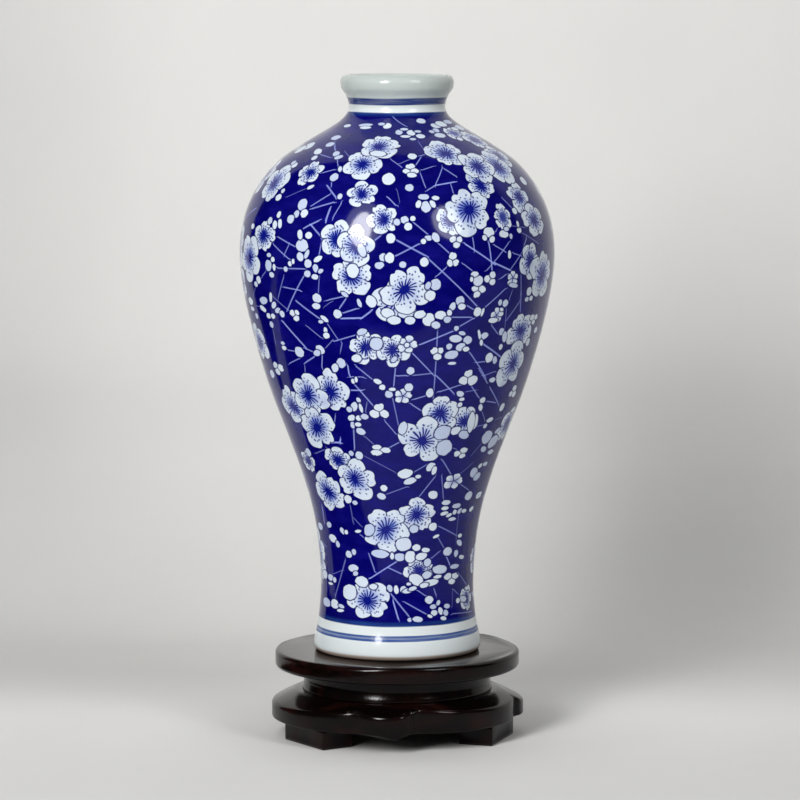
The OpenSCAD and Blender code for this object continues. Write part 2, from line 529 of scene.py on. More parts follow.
@dataclass
class Decoration:
    """Where every stroke and twig goes."""

    strokes: list[Stroke] = field(default_factory=list)
    twigs: list[Twig] = field(default_factory=list)

    def compose(self) -> None:
        """Fills in the whole decoration, the back first, because the front is painted over it."""
        self.scatter_back()
        self.front_twigs()
        self.front_blossoms()
        self.front_buds()

    def add(self, motif: Motif, rows: list[tuple]) -> None:
        """Adds strokes of one motif.

        Args:
            motif: what they are.
            rows: azimuth, reach, half width and half height in millimetres, and any turn in degrees.
        """
        self.strokes += [Stroke(motif, *row) for row in rows]

    def front_blossoms(self) -> None:
        """The blossoms from the front round to both sides, lowest of each overlap first."""
        self.add(Motif.BLOSSOM, [
            # under the neck and over the shoulder
            (-42, 190, 6.2, 6.6, 30), (-63, 184, 9.0, 8.6, 10), (-14, 181, 6.6, 5.6, 100),
            (-17, 195, 8.6, 8.6, 60), (-10.5, 206, 8.6, 8.0, 15), (-5, 171, 6.6, 6.4, 40),
            (50, 214, 5.0, 4.6), (64, 209, 7.0, 6.2, 20), (66, 198, 7.2, 6.6, 70), (27, 201, 7.9, 8.2, 25),
            (37, 184, 7.0, 6.6, 50), (55, 192, 9.2, 9.0, 5), (41, 193, 8.0, 7.8, 60),
            (57, 178, 6.8, 6.2, 80), (43, 171, 4.8, 5.0, 20), (20, 170, 6.4, 6.0), (28, 174, 9.4, 9.2, 35),
            # round the belly
            (-57, 163, 7.4, 6.4, 15), (-68, 154, 10.6, 9.6, 50), (-16, 150, 8.2, 8.0, 20),
            (-22, 163, 7.4, 7.6, 70), (-15, 161, 7.2, 7.4, 10), (62, 169, 8.0, 6.6, 30),
            (56, 154, 6.6, 7.4, 60), (66, 148, 10.4, 9.8, 15), (-73, 121, 8.4, 8.0, 40),
            (56, 127, 8.2, 8.0, 50), (56, 114, 9.2, 9.0, 15),
            # below the belly
            (-30, 105, 7.6, 8.2, 75), (-56, 97, 8.6, 7.8, 40), (-43, 102, 9.6, 9.2, 62),
            (-43, 89, 9.6, 8.8, 25), (34, 92, 6.6, 7.4, 60), (20, 96, 7.8, 7.8, 20),
            (-34, 76, 6.4, 6.0, 10), (-25, 68.5, 8.8, 8.6, 75), (72, 88, 7.6, 7.4), (-48, 62, 8.6, 8.4, 40),
            # near the foot
            (13, 54, 8.0, 7.4, 20), (-7, 48, 9.6, 9.8, 55), (-23, 20.5, 9.4, 8.4, 35), (64, 19, 5.4, 5.0),
        ])
        self.add(Motif.OPEN_BLOSSOM, [
            (0, 141, 10.2, 9.4, 20), (3, 145, 9.4, 9.4, 54), (-12, 123, 6.6, 7.0, 30),
            (-2, 122, 6.6, 7.2, 60), (4, 124, 3.6, 3.4), (13, 85, 9.8, 9.6, 10), (-60, 74, 5.4, 5.2),
            (17, 32, 6.4, 5.2, 45), (40, 134, 3.2, 3.0, 20), (36, 67, 4.4, 3.6), (2.5, 103.5, 3.6, 3.5, 10),
            (46, 148, 3.1, 3.0, 90),
        ])

    def front_buds(self) -> None:
        """The buds, single petals and small groups of drops between the front's blossoms."""
        self.add(Motif.SPLIT_BUD, [
            (20, 155.5, 3.0, 3.1, 90), (35.5, 148.3, 3.0, 2.9, 60), (30.3, 144, 3.1, 2.8, 20),
            (-8, 97, 4.0, 3.6, 90), (31, 110, 4.2, 3.8, 90), (21.5, 162.6, 2.8, 2.4, 270),
            (-41, 134.4, 2.6, 2.4, 40), (45, 28, 4.2, 2.7, 270), (65, 131, 4.0, 2.6, 30),
            (16, 120.6, 2.8, 2.8, 150), (-9, 81, 4.4, 2.6), (36.5, 78.5, 3.4, 2.6, 60),
            (-60, 112, 4.4, 3.2, 10), (6.2, 192, 3.4, 3.0, 90), (64, 102, 3.4, 2.8, 200),
        ])
        self.add(Motif.DROP, [
            # under the neck
            (-31, 220, 3.0, 1.0, 5), (-29, 218.4, 2.4, 0.9), (-9, 219.6, 1.7, 1.7), (-15, 220.8, 1.3, 0.9),
            (1.5, 215.5, 1.4, 1.7), (11, 215, 1.6, 1.9), (6, 217.5, 1.5, 0.8), (6, 212.6, 1.9, 0.9),
            (17, 216, 1.3, 0.8), (17.4, 212.7, 1.8, 1.5), (11, 210.7, 1.2, 0.8), (25, 222.5, 1.9, 1.4),
            (34, 216.5, 1.5, 1.3, 30), (29, 215.7, 1.1, 1.1), (38, 219.5, 2.2, 1.5), (33.5, 213, 2.4, 1.6),
            (47, 220.5, 2.9, 1.7), (61, 221.5, 3.0, 1.2), (70, 217.5, 3.4, 1.8), (58, 217, 2.2, 1.2),
            (48, 210, 1.4, 1.2), (-48, 211, 2.4, 1.7), (-46, 206.3, 2.0, 1.6),
            (-49.5, 201.5, 2.6, 1.6, -30), (-47, 197.6, 1.4, 1.4), (-52, 219.2, 1.9, 1.0),
            (-66, 204.6, 3.2, 2.6), (-71, 202.0, 3.0, 2.6), (-57, 193, 1.6, 1.4), (-60, 194.2, 1.4, 1.2),
            # shoulder
            (-34.8, 200.6, 1.4, 1.7, 40), (-31.6, 198.5, 1.8, 1.2, 25), (-28.2, 188.1, 1.7, 1.9),
            (-27, 192, 0.8, 1.5, 20), (-10.4, 201.1, 3.2, 1.8, -12), (-3.6, 187.6, 2.4, 2.7),
            (-23, 179.8, 1.0, 1.2), (-39, 176, 2.3, 2.3), (-40.7, 172.2, 1.3, 1.5), (-37, 172.6, 1.7, 1.6),
            (-43, 170.2, 1.8, 1.7), (-54, 178.3, 1.8, 1.4), (-53, 181.1, 1.1, 1.0),
            (-38, 183.3, 1.6, 0.8, 30), (8, 199.5, 1.7, 1.8), (6.5, 189.4, 1.8, 1.2), (5, 183.7, 1.6, 1.6),
            (10.5, 179.8, 2.0, 1.2), (15.2, 179.3, 1.5, 0.9), (11, 175.8, 1.9, 2.2),
            (8.2, 176.9, 1.0, 1.6, -25), (13.8, 176.9, 1.0, 1.6, 25), (50.3, 173, 1.4, 1.2),
            (68, 184.8, 2.4, 1.9), (42, 164.6, 2.3, 1.4), (43.6, 166.4, 1.3, 0.8), (45.4, 163.6, 0.8, 1.0),
            (35, 165.5, 2.5, 1.9), (33, 163.5, 1.0, 1.1, 40), (36.2, 162.8, 1.4, 1.1, 30),
            (50.4, 165.6, 1.3, 1.1), (50.2, 168.0, 0.7, 1.2), (0, 170, 1.3, 1.3),
            (2.8, 170.8, 1.4, 1.5, 60), (4, 168.3, 1.5, 1.5, 30), (5.8, 171.3, 1.0, 1.0),
            # belly, left
            (-2.2, 164, 1.7, 1.8), (-4.8, 157, 1.6, 1.5), (-2.6, 156.8, 1.7, 2.0),
            (-6.2, 154, 1.8, 1.3, 10), (-36, 160.6, 2.8, 2.4), (-37.3, 164.6, 1.2, 1.9, 20),
            (-33.4, 164.4, 1.5, 1.3), (-36.6, 156.4, 1.5, 1.8, 30), (-33.7, 157.4, 0.9, 1.9, -25),
            (-33.2, 154, 1.6, 1.6), (-30, 152.4, 1.2, 1.6, 15), (-29, 155.9, 2.0, 1.0, 30),
            (-28, 151.4, 1.2, 0.8, 30), (-33.5, 150.2, 1.5, 1.3), (-30.4, 149.2, 1.5, 1.0),
            (-53, 152.3, 2.1, 2.1), (-51.3, 148.9, 1.5, 1.1), (-49.6, 151.8, 0.9, 1.3),
            (-50.3, 154.7, 1.1, 1.0), (-52.6, 156.2, 1.4, 0.8), (-54.5, 169, 1.5, 1.4),
            (-51, 167.6, 1.3, 1.7, 20), (-48.2, 168.2, 1.1, 1.9, 20), (-50, 171.6, 1.2, 1.3),
            (-41.3, 153.6, 1.0, 1.0), (-43.5, 151.5, 1.1, 1.0), (-39.8, 154.5, 0.7, 1.0),
            (-30.2, 141.2, 1.9, 1.8), (-30.8, 138.2, 1.8, 1.2), (-22.3, 135.5, 1.7, 1.7),
            (-27.9, 133.4, 1.8, 0.9, -35), (-29.6, 132.2, 1.1, 0.7), (-28, 128.6, 0.8, 1.6),
            (-27.9, 126.9, 1.4, 1.2), (-19, 143, 1.5, 0.8, -30), (-13.7, 139.9, 0.8, 1.7, 20),
            (-9.3, 140.5, 1.9, 2.4, 25), (-12.4, 159.4, 1.4, 2.5, 25), (-15.8, 151.9, 2.3, 2.6),
            (-42.4, 119.7, 2.3, 2.1), (-51.1, 120.7, 1.4, 0.9), (-51.3, 122.6, 1.2, 0.7),
            (-31.6, 121.3, 2.0, 1.6, -40), (-33.4, 119.8, 1.6, 1.2, 20), (-59, 138.6, 3.0, 1.5, 5),
            (-53.5, 140.3, 0.9, 2.0, -15), (-52.3, 137.3, 1.7, 1.1, 35), (-60.5, 135.4, 2.5, 1.1, -15),
            (-50.4, 135.4, 1.8, 1.0, 20), (-48.1, 134.2, 1.4, 1.3), (-57.2, 132.8, 1.5, 1.1),
            (-54.1, 132.9, 1.4, 1.0), (-56.3, 129.5, 1.3, 1.3), (-68, 131.9, 1.4, 1.2),
            (-72, 137.4, 3.0, 1.5), (-71.6, 134.5, 2.4, 0.9), (-60.6, 146.4, 1.8, 1.5),
            (-63.2, 144.6, 1.5, 1.1), (-67, 166.2, 1.6, 1.1), (-16.2, 118.4, 1.9, 1.6),
            (-8, 124.2, 2.5, 2.5), (-13.3, 128.8, 2.0, 1.2, 20), (-1.2, 118.2, 1.4, 0.9, 45),
            (-23, 116.3, 1.8, 2.0), (-26, 114.2, 1.4, 1.8, -20), (3.8, 123.8, 0.9, 0.9),
            # belly, right
            (9.6, 155.2, 1.6, 1.7), (2, 154.3, 1.3, 1.2), (13.7, 146.8, 2.2, 2.1),
            (11, 146.5, 1.0, 1.5, -20), (12, 142.7, 2.0, 1.9, 20), (11.2, 164.0, 1.5, 1.0),
            (9.4, 162.8, 1.0, 1.0), (13.9, 164.2, 1.4, 1.9, 25), (30, 147.8, 2.2, 2.0),
            (28.6, 150.3, 1.6, 1.0), (27.4, 148.4, 0.7, 1.0), (46.7, 145.2, 2.6, 0.9, -10),
            (23.4, 140.4, 1.7, 1.9, 20), (24.2, 138.2, 1.6, 1.2), (20.6, 138.4, 1.2, 1.6, -20),
            (19.5, 136, 1.0, 1.2), (31.0, 135.9, 1.7, 1.8), (33.2, 135.7, 0.6, 1.6, -15),
            (11.6, 133.6, 2.3, 2.5), (16.2, 135.2, 2.2, 1.6), (14.6, 131.4, 1.7, 1.4, -20),
            (18.9, 133.4, 1.5, 1.2), (8.3, 135.6, 2.2, 1.5, 10), (4.8, 133.3, 2.0, 1.5),
            (-3.4, 136.2, 2.4, 1.8, -20), (-1.0, 133.4, 2.5, 1.6), (38.6, 132.3, 2.3, 1.0),
            (40.9, 139, 1.0, 1.2), (43.6, 138.6, 1.4, 1.4), (42.1, 136.3, 1.0, 0.7, -20),
            (44, 156.8, 0.8, 1.6), (56.9, 142.3, 1.8, 1.6), (56, 139.3, 1.4, 0.9), (59, 139.5, 1.3, 1.0),
            (22.8, 129.9, 1.0, 1.0), (35.4, 126.4, 1.9, 1.3, 20), (33.1, 127, 0.6, 2.2, 20),
            (34.6, 123.8, 0.7, 1.3, 15), (23, 125.9, 2.6, 1.5, -5), (28.2, 125.1, 1.9, 1.6, -20),
            (25.4, 122.5, 2.0, 1.5, 25), (20.6, 122.9, 1.2, 1.2), (28, 121.6, 1.4, 1.0),
            (25.4, 127.9, 1.5, 0.8, -15), (22, 119.6, 2.8, 1.7, 5), (22.6, 116.2, 1.7, 0.6),
            (44, 127.6, 1.4, 1.4), (46.3, 125.4, 1.3, 2.3, 10), (45.2, 121.5, 1.0, 1.2),
            (40, 117.6, 1.8, 2.0, 20), (43.4, 116.4, 1.1, 1.6, 20), (5.5, 113.6, 1.5, 1.5),
            (70, 126.3, 1.8, 1.2), (64.4, 122, 1.6, 1.6),
            # lower body
            (-6.2, 107, 1.2, 1.1), (-8.1, 109.3, 1.6, 1.0, -20), (-3.5, 104.2, 1.5, 1.4, -40),
            (-2, 106.2, 1.3, 0.7), (5, 107, 1.6, 1.6, -30), (-19.5, 98.9, 1.3, 2.0, -20),
            (-17.1, 101.6, 0.8, 1.1, 20), (-16.4, 98.3, 0.7, 1.9, 10), (-22.1, 97.6, 1.2, 1.2),
            (-21.6, 94.1, 1.6, 1.2, 30), (-18.1, 94.1, 1.2, 1.1, 20), (-15.1, 94.8, 1.5, 1.2),
            (-21.6, 91.1, 0.9, 1.4), (-18.8, 91.4, 1.3, 0.9), (-17.9, 88.5, 1.8, 1.4, -25),
            (-8.0, 65, 1.3, 1.3), (-9.7, 61.6, 1.7, 1.3, -20), (-32.6, 59.7, 1.7, 1.7),
            (-27.8, 58.5, 1.1, 0.9), (-20.6, 78.4, 1.5, 1.7), (-25, 79.1, 1.0, 1.1),
            (-56.8, 77.6, 1.7, 1.8), (-68, 109, 2.3, 1.6, 20), (2.7, 90.2, 1.6, 2.7, -10),
            (29.9, 88.4, 2.2, 1.7, 20), (35.4, 86.4, 2.6, 1.7, -15), (28.5, 103.7, 1.7, 1.1, -20),
            (29.8, 101.4, 1.2, 0.7), (29.3, 99.2, 1.0, 1.0, -30), (22.8, 87.9, 3.4, 2.9, 20),
            (25.2, 81.4, 3.2, 3.4, 30), (4.6, 71, 2.9, 1.9, 12), (7.6, 67.9, 2.5, 1.3, 20),
            (12.2, 69.7, 1.1, 0.8), (19, 73.6, 2.0, 1.6, 45), (21.4, 72.0, 1.0, 1.8, -10),
            (22.8, 61.9, 2.0, 1.7, -30), (53, 84.2, 3.2, 2.9, -20), (61, 81.7, 3.6, 2.5, 20),
            (53.3, 79.2, 1.9, 1.2, -20), (61.8, 86.3, 2.0, 1.0, 20), (62.4, 77.3, 2.4, 1.0),
            (57.6, 96.3, 1.6, 1.7), (50.7, 91.6, 1.9, 1.0, 10), (48.4, 89.2, 1.1, 1.0),
            (51, 69.6, 2.4, 2.0, -30), (55.4, 67.6, 2.2, 1.6, 20), (55.6, 72.1, 1.4, 0.9, 20),
            (60.8, 72.5, 1.9, 0.9), (41.6, 100.4, 1.4, 1.2), (44.6, 108.4, 1.7, 1.0),
            # near the foot
            (33, 58.3, 2.0, 1.0), (32.9, 56, 1.6, 0.8), (33, 53.9, 1.8, 0.8, 10), (42.2, 56.5, 2.2, 1.0),
            (46.2, 54.2, 1.3, 1.0, 30), (50.6, 54, 1.5, 0.8), (40.4, 51.3, 1.9, 0.7),
            (37, 53.0, 1.4, 0.7, 20), (41.6, 54, 1.0, 1.0), (59.2, 54.2, 1.6, 0.9, 20),
            (25.1, 48.9, 1.7, 1.6, -10), (28.4, 45, 1.4, 0.6, 20), (39.4, 38.6, 2.1, 1.7),
            (2, 37.4, 2.2, 1.5), (9.4, 37.5, 2.1, 2.3), (-3.6, 37.8, 0.8, 1.3), (17.7, 37.5, 2.3, 1.4, 10),
            (13.9, 41, 1.6, 1.3), (20.8, 39.9, 1.7, 0.9, -5), (22.6, 35.0, 1.5, 1.6, -30),
            (22.4, 30.2, 1.9, 1.4, 10), (14.2, 28.6, 3.0, 2.2, -30), (25.2, 27.0, 3.6, 1.3, 8),
            (20.4, 26.3, 1.8, 0.9, 10), (33, 32.0, 3.4, 1.7, -4), (31.4, 29.2, 1.8, 0.7, 5),
            (48, 37.4, 1.2, 1.4), (50.7, 41.4, 1.8, 1.1, -30), (55, 35.6, 1.8, 0.8, -10),
            (50.4, 44.2, 1.2, 0.8), (-34, 32.4, 2.3, 1.5, 8), (-32.1, 30.4, 1.2, 0.9, 15),
            (-37.4, 37.6, 1.5, 1.4, -10), (-32.7, 38.7, 1.0, 1.2), (-52.5, 43, 2.4, 1.6, -8),
            (-47.6, 41, 1.1, 1.4, 15), (-69.5, 46.6, 2.6, 1.5), (-70, 27.9, 2.7, 1.7),
            (-59.6, 27.4, 2.1, 1.2), (-54, 26.8, 1.1, 1.1), (-59.8, 25, 1.7, 0.5),
            (-53.6, 17.6, 2.5, 1.8, -8), (-66, 17.4, 3.6, 1.7, -4), (-45.8, 17.2, 1.7, 0.7, -10),
            (-46.6, 15.5, 1.9, 0.6, 5), (-38, 23, 3.4, 3.0, 12), (-27, 27.5, 2.9, 2.0, -12),
            (-17.8, 25.8, 1.6, 1.1, 5), (-5.4, 25.4, 1.0, 1.4, 20), (-0.6, 24.9, 0.9, 1.7, 10),
            (4.6, 24.9, 1.2, 1.4, -20), (7.6, 24.4, 1.9, 0.9, 12), (8.6, 27.0, 0.9, 0.6),
            (24.4, 20.6, 1.7, 1.5), (27.6, 17.9, 1.5, 0.9, 5), (28.2, 15.5, 1.4, 1.1),
            (33.8, 16.0, 1.1, 1.5, 25), (38.4, 15.1, 1.2, 1.2), (39.8, 17.6, 1.5, 0.9, -10),
            (36, 13.1, 1.4, 0.8, -10), (32, 19.2, 0.8, 1.1, -30), (24.6, 14.4, 1.1, 0.6, -20),
            (58.6, 19.2, 2.6, 1.2, -8), (51.8, 19, 1.2, 1.0), (9.2, 13.4, 0.9, 0.8, 10),
            (15, 13.5, 2.0, 1.1, -8), (-12.4, 38.6, 3.4, 1.6, -4), (-19.5, 47.8, 2.0, 2.6, -20),
            (4.6, 42.4, 3.0, 2.6, 10),
        ])
        self.add(Motif.SHADED_DROP, [
            (52, 60, 2.2, 1.8), (65.5, 59.4, 2.6, 1.4, 10), (-55, 48.2, 1.6, 1.2, 20),
            (-41.5, 46.6, 1.0, 1.4, 30), (-38, 46.2, 0.9, 0.9), (38, 91.4, 1.7, 4.4, 10),
            (47.5, 32.4, 2.6, 0.9), (11.6, 48.3, 1.7, 1.6), (-28, 47.0, 1.4, 0.6, 10),
            (11.6, 25.2, 1.6, 0.8, 15), (41.4, 97.4, 1.0, 1.6, 30), (14.2, 104.6, 1.4, 1.9),
            (-18.6, 109.2, 0.8, 1.0), (-17.2, 109.9, 0.6, 1.2),
        ])

    def front_twigs(self) -> None:
        """The thin pale lines that run between the front's motifs."""
        for row in (
            (-4, 224.5, 8, 219.5), (14, 209, 16, 202, 0.5, 0.3), (-3, 197.5, 2, 193.5),
            (1, 195, 6, 197.5, 0.5, 0.4), (9, 194.5, 12.5, 199, 0.6), (12, 199.6, 16, 200.8),
            (11.5, 191.8, 17, 193.6), (10.4, 190, 11.6, 184), (12, 182.4, 16, 184.6, 0.6),
            (16, 184.6, 25, 186, 0.7, 0.8), (16, 184.8, 21.5, 193), (22.5, 192, 26.5, 188.5, 0.7),
            (22.8, 185, 23, 181), (46, 178, 49, 174.5), (14.8, 176, 16.5, 174),
            (-44, 208, -37.5, 202.8, 0.7), (-46, 200, -37, 198.2, 0.6, 0.5), (-31, 196.6, -28, 192.5),
            (-35, 190, -29.6, 191.8, 0.6), (-30, 184.2, -24.6, 179.4, 0.8), (-28.6, 186, -28, 184),
            (-34.6, 175.6, -27.5, 180.6, 0.6), (-34.4, 174.4, -25, 177.4, 0.7), (-21.6, 177.4, -24.4, 171),
            (-30, 202, -24, 198, 0.5, 0.3), (-3.6, 179.8, -0.6, 176.6, 0.6),
            (-49, 178.6, -40, 182.6, 0.4, 0.3), (0, 183, 1, 178, 0.4, 0.25), (-26, 175, -27, 170, 0.9, 0.7),
            (39, 166.4, 35, 163), (5.8, 170, 10.8, 165.6, 0.6), (-0.8, 169, -9.6, 161.8, 0.7),
            (0, 163.2, 11, 157, 0.8), (-1, 157.2, 8.4, 162.2, 0.7), (11.2, 156.2, 31, 137.6, 0.7),
            (15.2, 161.6, 18.8, 158.2, 0.6), (24, 154.2, 28, 151.2, 0.5), (17.4, 153, 14, 149.8, 0.6),
            (25, 161.4, 37, 153.6, 0.7, 0.8), (28, 163.6, 28.4, 159.4, 0.6),
            (34.6, 161.6, 35.8, 151.4, 0.7, 0.8), (37, 154, 44.4, 151, 0.8, 0.8),
            (44, 161.4, 33.4, 151.4, 0.6), (37, 160.6, 42, 158, 0.6), (46, 157.2, 50.6, 156, 0.5),
            (44.6, 151.4, 49.8, 156.4, 0.6), (54, 162.4, 50.6, 157.4, 0.6),
            (51.6, 164.6, 62, 160, 0.5, 0.4), (44, 167.8, 54, 166.4, 0.5, 0.35),
            (40, 148.2, 42.6, 149.6, 0.6), (50.4, 149, 51.6, 142), (51.6, 142, 52.8, 135.4, 0.7, 0.5),
            (45.6, 132, 51.6, 138.8, 0.6, 0.5), (33.6, 137.2, 43, 144.4, 0.6),
            (25, 139.2, 29.4, 136.8, 0.6), (20, 134.3, 28.6, 134, 0.6), (9, 124, 21.8, 129, 0.7, 0.7),
            (24, 130.6, 29.6, 133.6, 0.6), (36, 123, 48, 116.6, 0.8, 0.7), (38.4, 130.2, 42.4, 126.6, 0.5),
            (46.4, 143, 45.2, 139.8, 0.5, 0.4), (44.6, 136, 45.4, 128.8, 0.4, 0.4),
            (30, 120, 40, 109.8, 0.6), (34, 116, 38.2, 116.2, 0.6), (6, 120.6, 15, 111.8, 0.6, 0.6),
            (15.4, 128.6, 16, 101, 0.6, 0.5), (-35, 149.4, -45, 135.6, 0.7, 0.6),
            (-45, 144.6, -37, 143.8, 0.6), (-39.6, 139.6, -30, 133.4, 0.8), (-50, 160.2, -41.6, 155.2, 0.6),
            (-48, 163.2, -39, 160, 0.6), (-42, 160.6, -44, 157, 0.6, 0.5), (-48, 151.6, -34.6, 152, 0.6),
            (-44.6, 148.6, -49, 140.2, 0.6, 0.4), (-52, 140.6, -43.8, 135.6, 0.5, 0.4),
            (-36, 167, -29.6, 170.2, 0.8), (-33, 168.4, -28.2, 164.2, 0.8), (-27.2, 166, -28.6, 157, 0.6),
            (-27, 160.4, -25.4, 161), (-28.6, 149, -29.4, 143.2, 0.5, 0.4), (-26, 140.6, -19.6, 142.2, 0.6),
            (-27.4, 138, -24, 140.4, 0.4, 0.3), (-18.6, 141.4, -21.4, 137.6, 0.7),
            (-19.8, 136, -14.6, 137.8, 0.7), (-21, 133.8, -13, 134.2, 0.8, 0.8),
            (-13, 134.2, -9, 137.2, 0.8, 0.7), (-55, 149.8, -58, 147.6, 0.5, 0.5),
            (-48.6, 131.4, -38.8, 122, 0.9, 0.7), (-39, 121.4, -34.6, 120, 0.6),
            (-48.8, 120, -44.8, 119.8, 0.6), (-35.8, 130, -30.4, 126, 0.5, 0.5),
            (-26.6, 131.2, -23.4, 126, 0.5, 0.5), (-24.8, 124.8, -15.6, 127.6, 0.6),
            (-29, 122, -25.4, 125.2, 0.5, 0.4), (-42.8, 117.2, -50, 114.6, 0.5),
            (-40.6, 115.4, -34.6, 118.4, 0.7), (-31, 119, -32.2, 114, 0.6),
            (-21.6, 124.2, -22.6, 121, 0.6, 0.4), (-56, 128, -56.4, 122, 0.5, 0.3),
            (-66, 136, -62.4, 136, 0.4, 0.4), (-68, 139.4, -63.6, 143.6, 0.4, 0.4),
            (-41, 114, -41.6, 110.6, 0.6, 0.4), (-20.2, 115.4, -20, 111.4, 0.7, 0.7),
            (-16.4, 115, -9.8, 109.8, 0.6), (-19.6, 111, -14, 111, 0.5),
            (-18.6, 108.4, -10.6, 99.4, 0.7, 0.6), (-26, 105.4, -14.8, 105.6, 0.7, 0.7),
            (-13.4, 100.4, -14.4, 97, 0.5, 0.4), (-0.4, 117, -1.4, 107.4, 0.6, 0.6),
            (0, 111.6, 4, 111.8, 0.6), (6.6, 111.8, 14, 112.4, 0.6, 0.5),
            (16.4, 111.4, 25, 104.2, 0.7, 0.6), (18, 104.8, 28, 107.4, 0.6), (7, 102, 13, 103.6, 0.6),
            (6.4, 100, 13, 96.2, 0.6), (-1.8, 102, 0.6, 91.6, 0.6, 0.4), (-5.6, 93, -0.4, 87.6, 0.5),
            (33.4, 106.6, 38.6, 101.8, 0.6), (36, 113, 41.6, 107.6, 0.7, 0.5),
            (31, 104.4, 36, 104.8, 0.5, 0.4), (44, 105.4, 54, 97.4, 0.6, 0.6),
            (38.6, 110.4, 45, 111.8, 0.5, 0.5), (45, 99.6, 50.6, 98.8, 0.6), (42.6, 96, 47, 91.6, 0.5, 0.4),
            (-29.8, 94.6, -32.6, 88.6, 0.6, 0.5), (-38.6, 83, -30.6, 83.4, 0.9, 0.8),
            (-30.4, 83.6, -29.8, 84.6, 0.9, 0.8), (-21.4, 89.6, -22.6, 80.8, 0.7, 0.6),
            (-16, 86.4, -12.4, 83.6, 0.5, 0.4), (-4.4, 81.8, 2, 84.6, 0.6, 0.6),
            (-50, 77.6, -41, 80, 0.5, 0.4), (-39.4, 80.6, -36.4, 78.4, 0.5, 0.4),
            (-17.6, 78.2, -1, 71.6, 0.4, 0.3), (29, 81.4, 33, 80.4, 0.4, 0.4),
            (25.4, 76.2, 32.6, 70, 0.6, 0.5), (10, 71.8, 17, 74.8, 0.5, 0.5),
            (22.6, 69.4, 13, 60.6, 0.6, 0.5), (26.6, 69.6, 30.4, 60, 0.6, 0.4),
            (40, 70, 47, 73.6, 0.5, 0.25), (42.6, 65, 50, 62.6, 0.6, 0.4), (-6, 62.6, 6, 65.6, 0.5, 0.4),
            (42, 89.4, 47.4, 89.8, 0.5, 0.4), (44.4, 77.2, 50, 82, 0.5, 0.3),
            (55.6, 91.2, 61, 92.2, 0.4, 0.3), (-59.4, 55, -61, 48.6, 0.9, 0.5),
            (-31.6, 57, -31.2, 50, 0.6, 0.25), (-30, 52, -25.6, 49.4, 0.5, 0.3),
            (-26, 45.6, -18.8, 42.4, 0.5, 0.5), (-20.4, 38, -16.6, 32, 0.7, 0.5),
            (-20.6, 28.8, 0, 35.8, 0.6, 0.8), (-6, 33.2, 9.6, 29.4, 0.6, 0.6),
            (-41, 35.2, -53.4, 20.4, 0.7, 0.4), (-55, 29, -45, 31, 0.4, 0.3),
            (-4.4, 23.2, 8.8, 14.6, 0.7, 0.6), (-3, 20.6, 1, 13.6, 0.7, 0.8), (6, 20, 22, 15.2, 0.6, 0.6),
            (15.4, 24.4, 21.6, 22.2, 0.5, 0.6), (28.6, 24.6, 30, 22.2, 0.6, 0.5),
            (30.2, 48.8, 46, 44.6, 0.6, 0.45), (30, 44.4, 35, 40.6, 0.6, 0.4),
            (25.4, 36.4, 32, 39, 0.6, 0.4), (39, 36.2, 43, 32.6, 0.6, 0.7), (52, 29.6, 69, 22.2, 0.5, 0.4),
            (46.8, 23.6, 51.8, 21.6, 0.5, 0.4), (45, 14.4, 72, 13.4, 0.5, 0.5),
            (45.6, 55, 46.8, 42, 0.6, 0.2), (46, 23, 45, 17, 0.5, 0.2),
        ):
            self.twigs.append(Twig(*row))

    def scatter_back(self) -> None:
        """The unseen side: the same kinds of motif at about the same density, scattered by rule."""
        chance = random.Random(20)
        middles: list[tuple[float, float, float]] = []

        def room(azimuth: float, reach: float, size: float, part: float) -> bool:
            """Whether a motif of this size fits among those already there."""
            degree = OUTLINE.degree_at(reach)
            return all(
                math.hypot((azimuth - a) * degree, reach - b) > part * (size + c)
                for a, b, c in middles
            )

        for size_low, size_high, tries, part, kinds in (
            (8.0, 9.8, 34, 0.70, (Motif.BLOSSOM, Motif.BLOSSOM, Motif.OPEN_BLOSSOM)),
            (5.4, 7.6, 60, 0.72, (Motif.BLOSSOM, Motif.OPEN_BLOSSOM)),
            (2.4, 3.6, 150, 0.96, (Motif.SPLIT_BUD, Motif.SPLIT_BUD, Motif.OPEN_BLOSSOM)),
            (0.9, 2.2, 900, 1.0, (Motif.DROP,)),
        ):
            for _ in range(tries):
                azimuth = chance.uniform(80, 280)
                reach = chance.uniform(14, 221)
                size = chance.uniform(size_low, size_high)
                shape = chance.uniform(0.8, 1.15) if size > 2.3 else chance.uniform(0.45, 1.0)
                turn = chance.uniform(0, 360)
                kind = chance.choice(kinds)
                if OUTLINE.radius_at(reach) < 2.6 * size or not room(azimuth, reach, size, part):
                    continue
                middles.append((azimuth, reach, size))
                self.strokes.append(Stroke(kind, azimuth, reach, size, size * shape, turn))
        for _ in range(230):
            azimuth = chance.uniform(74, 286)
            reach = chance.uniform(15, 222)
            slope = chance.choice((0.5, 0.9, 1.3, -0.4, -0.8, -1.2, 0.1)) + chance.uniform(-0.2, 0.2)
            run = chance.uniform(4, 15)
            end = reach + run * math.sin(slope)
            if 13 < end < 223:
                self.twigs.append(Twig(
                    azimuth, reach, azimuth + run * math.cos(slope) / OUTLINE.degree_at(reach), end,
                    chance.uniform(0.45, 0.85), chance.uniform(0.3, 0.8),
                ))
        self.strokes.sort(key=lambda s: -s.wide)


# ---------------------------------------------------------------- the vase


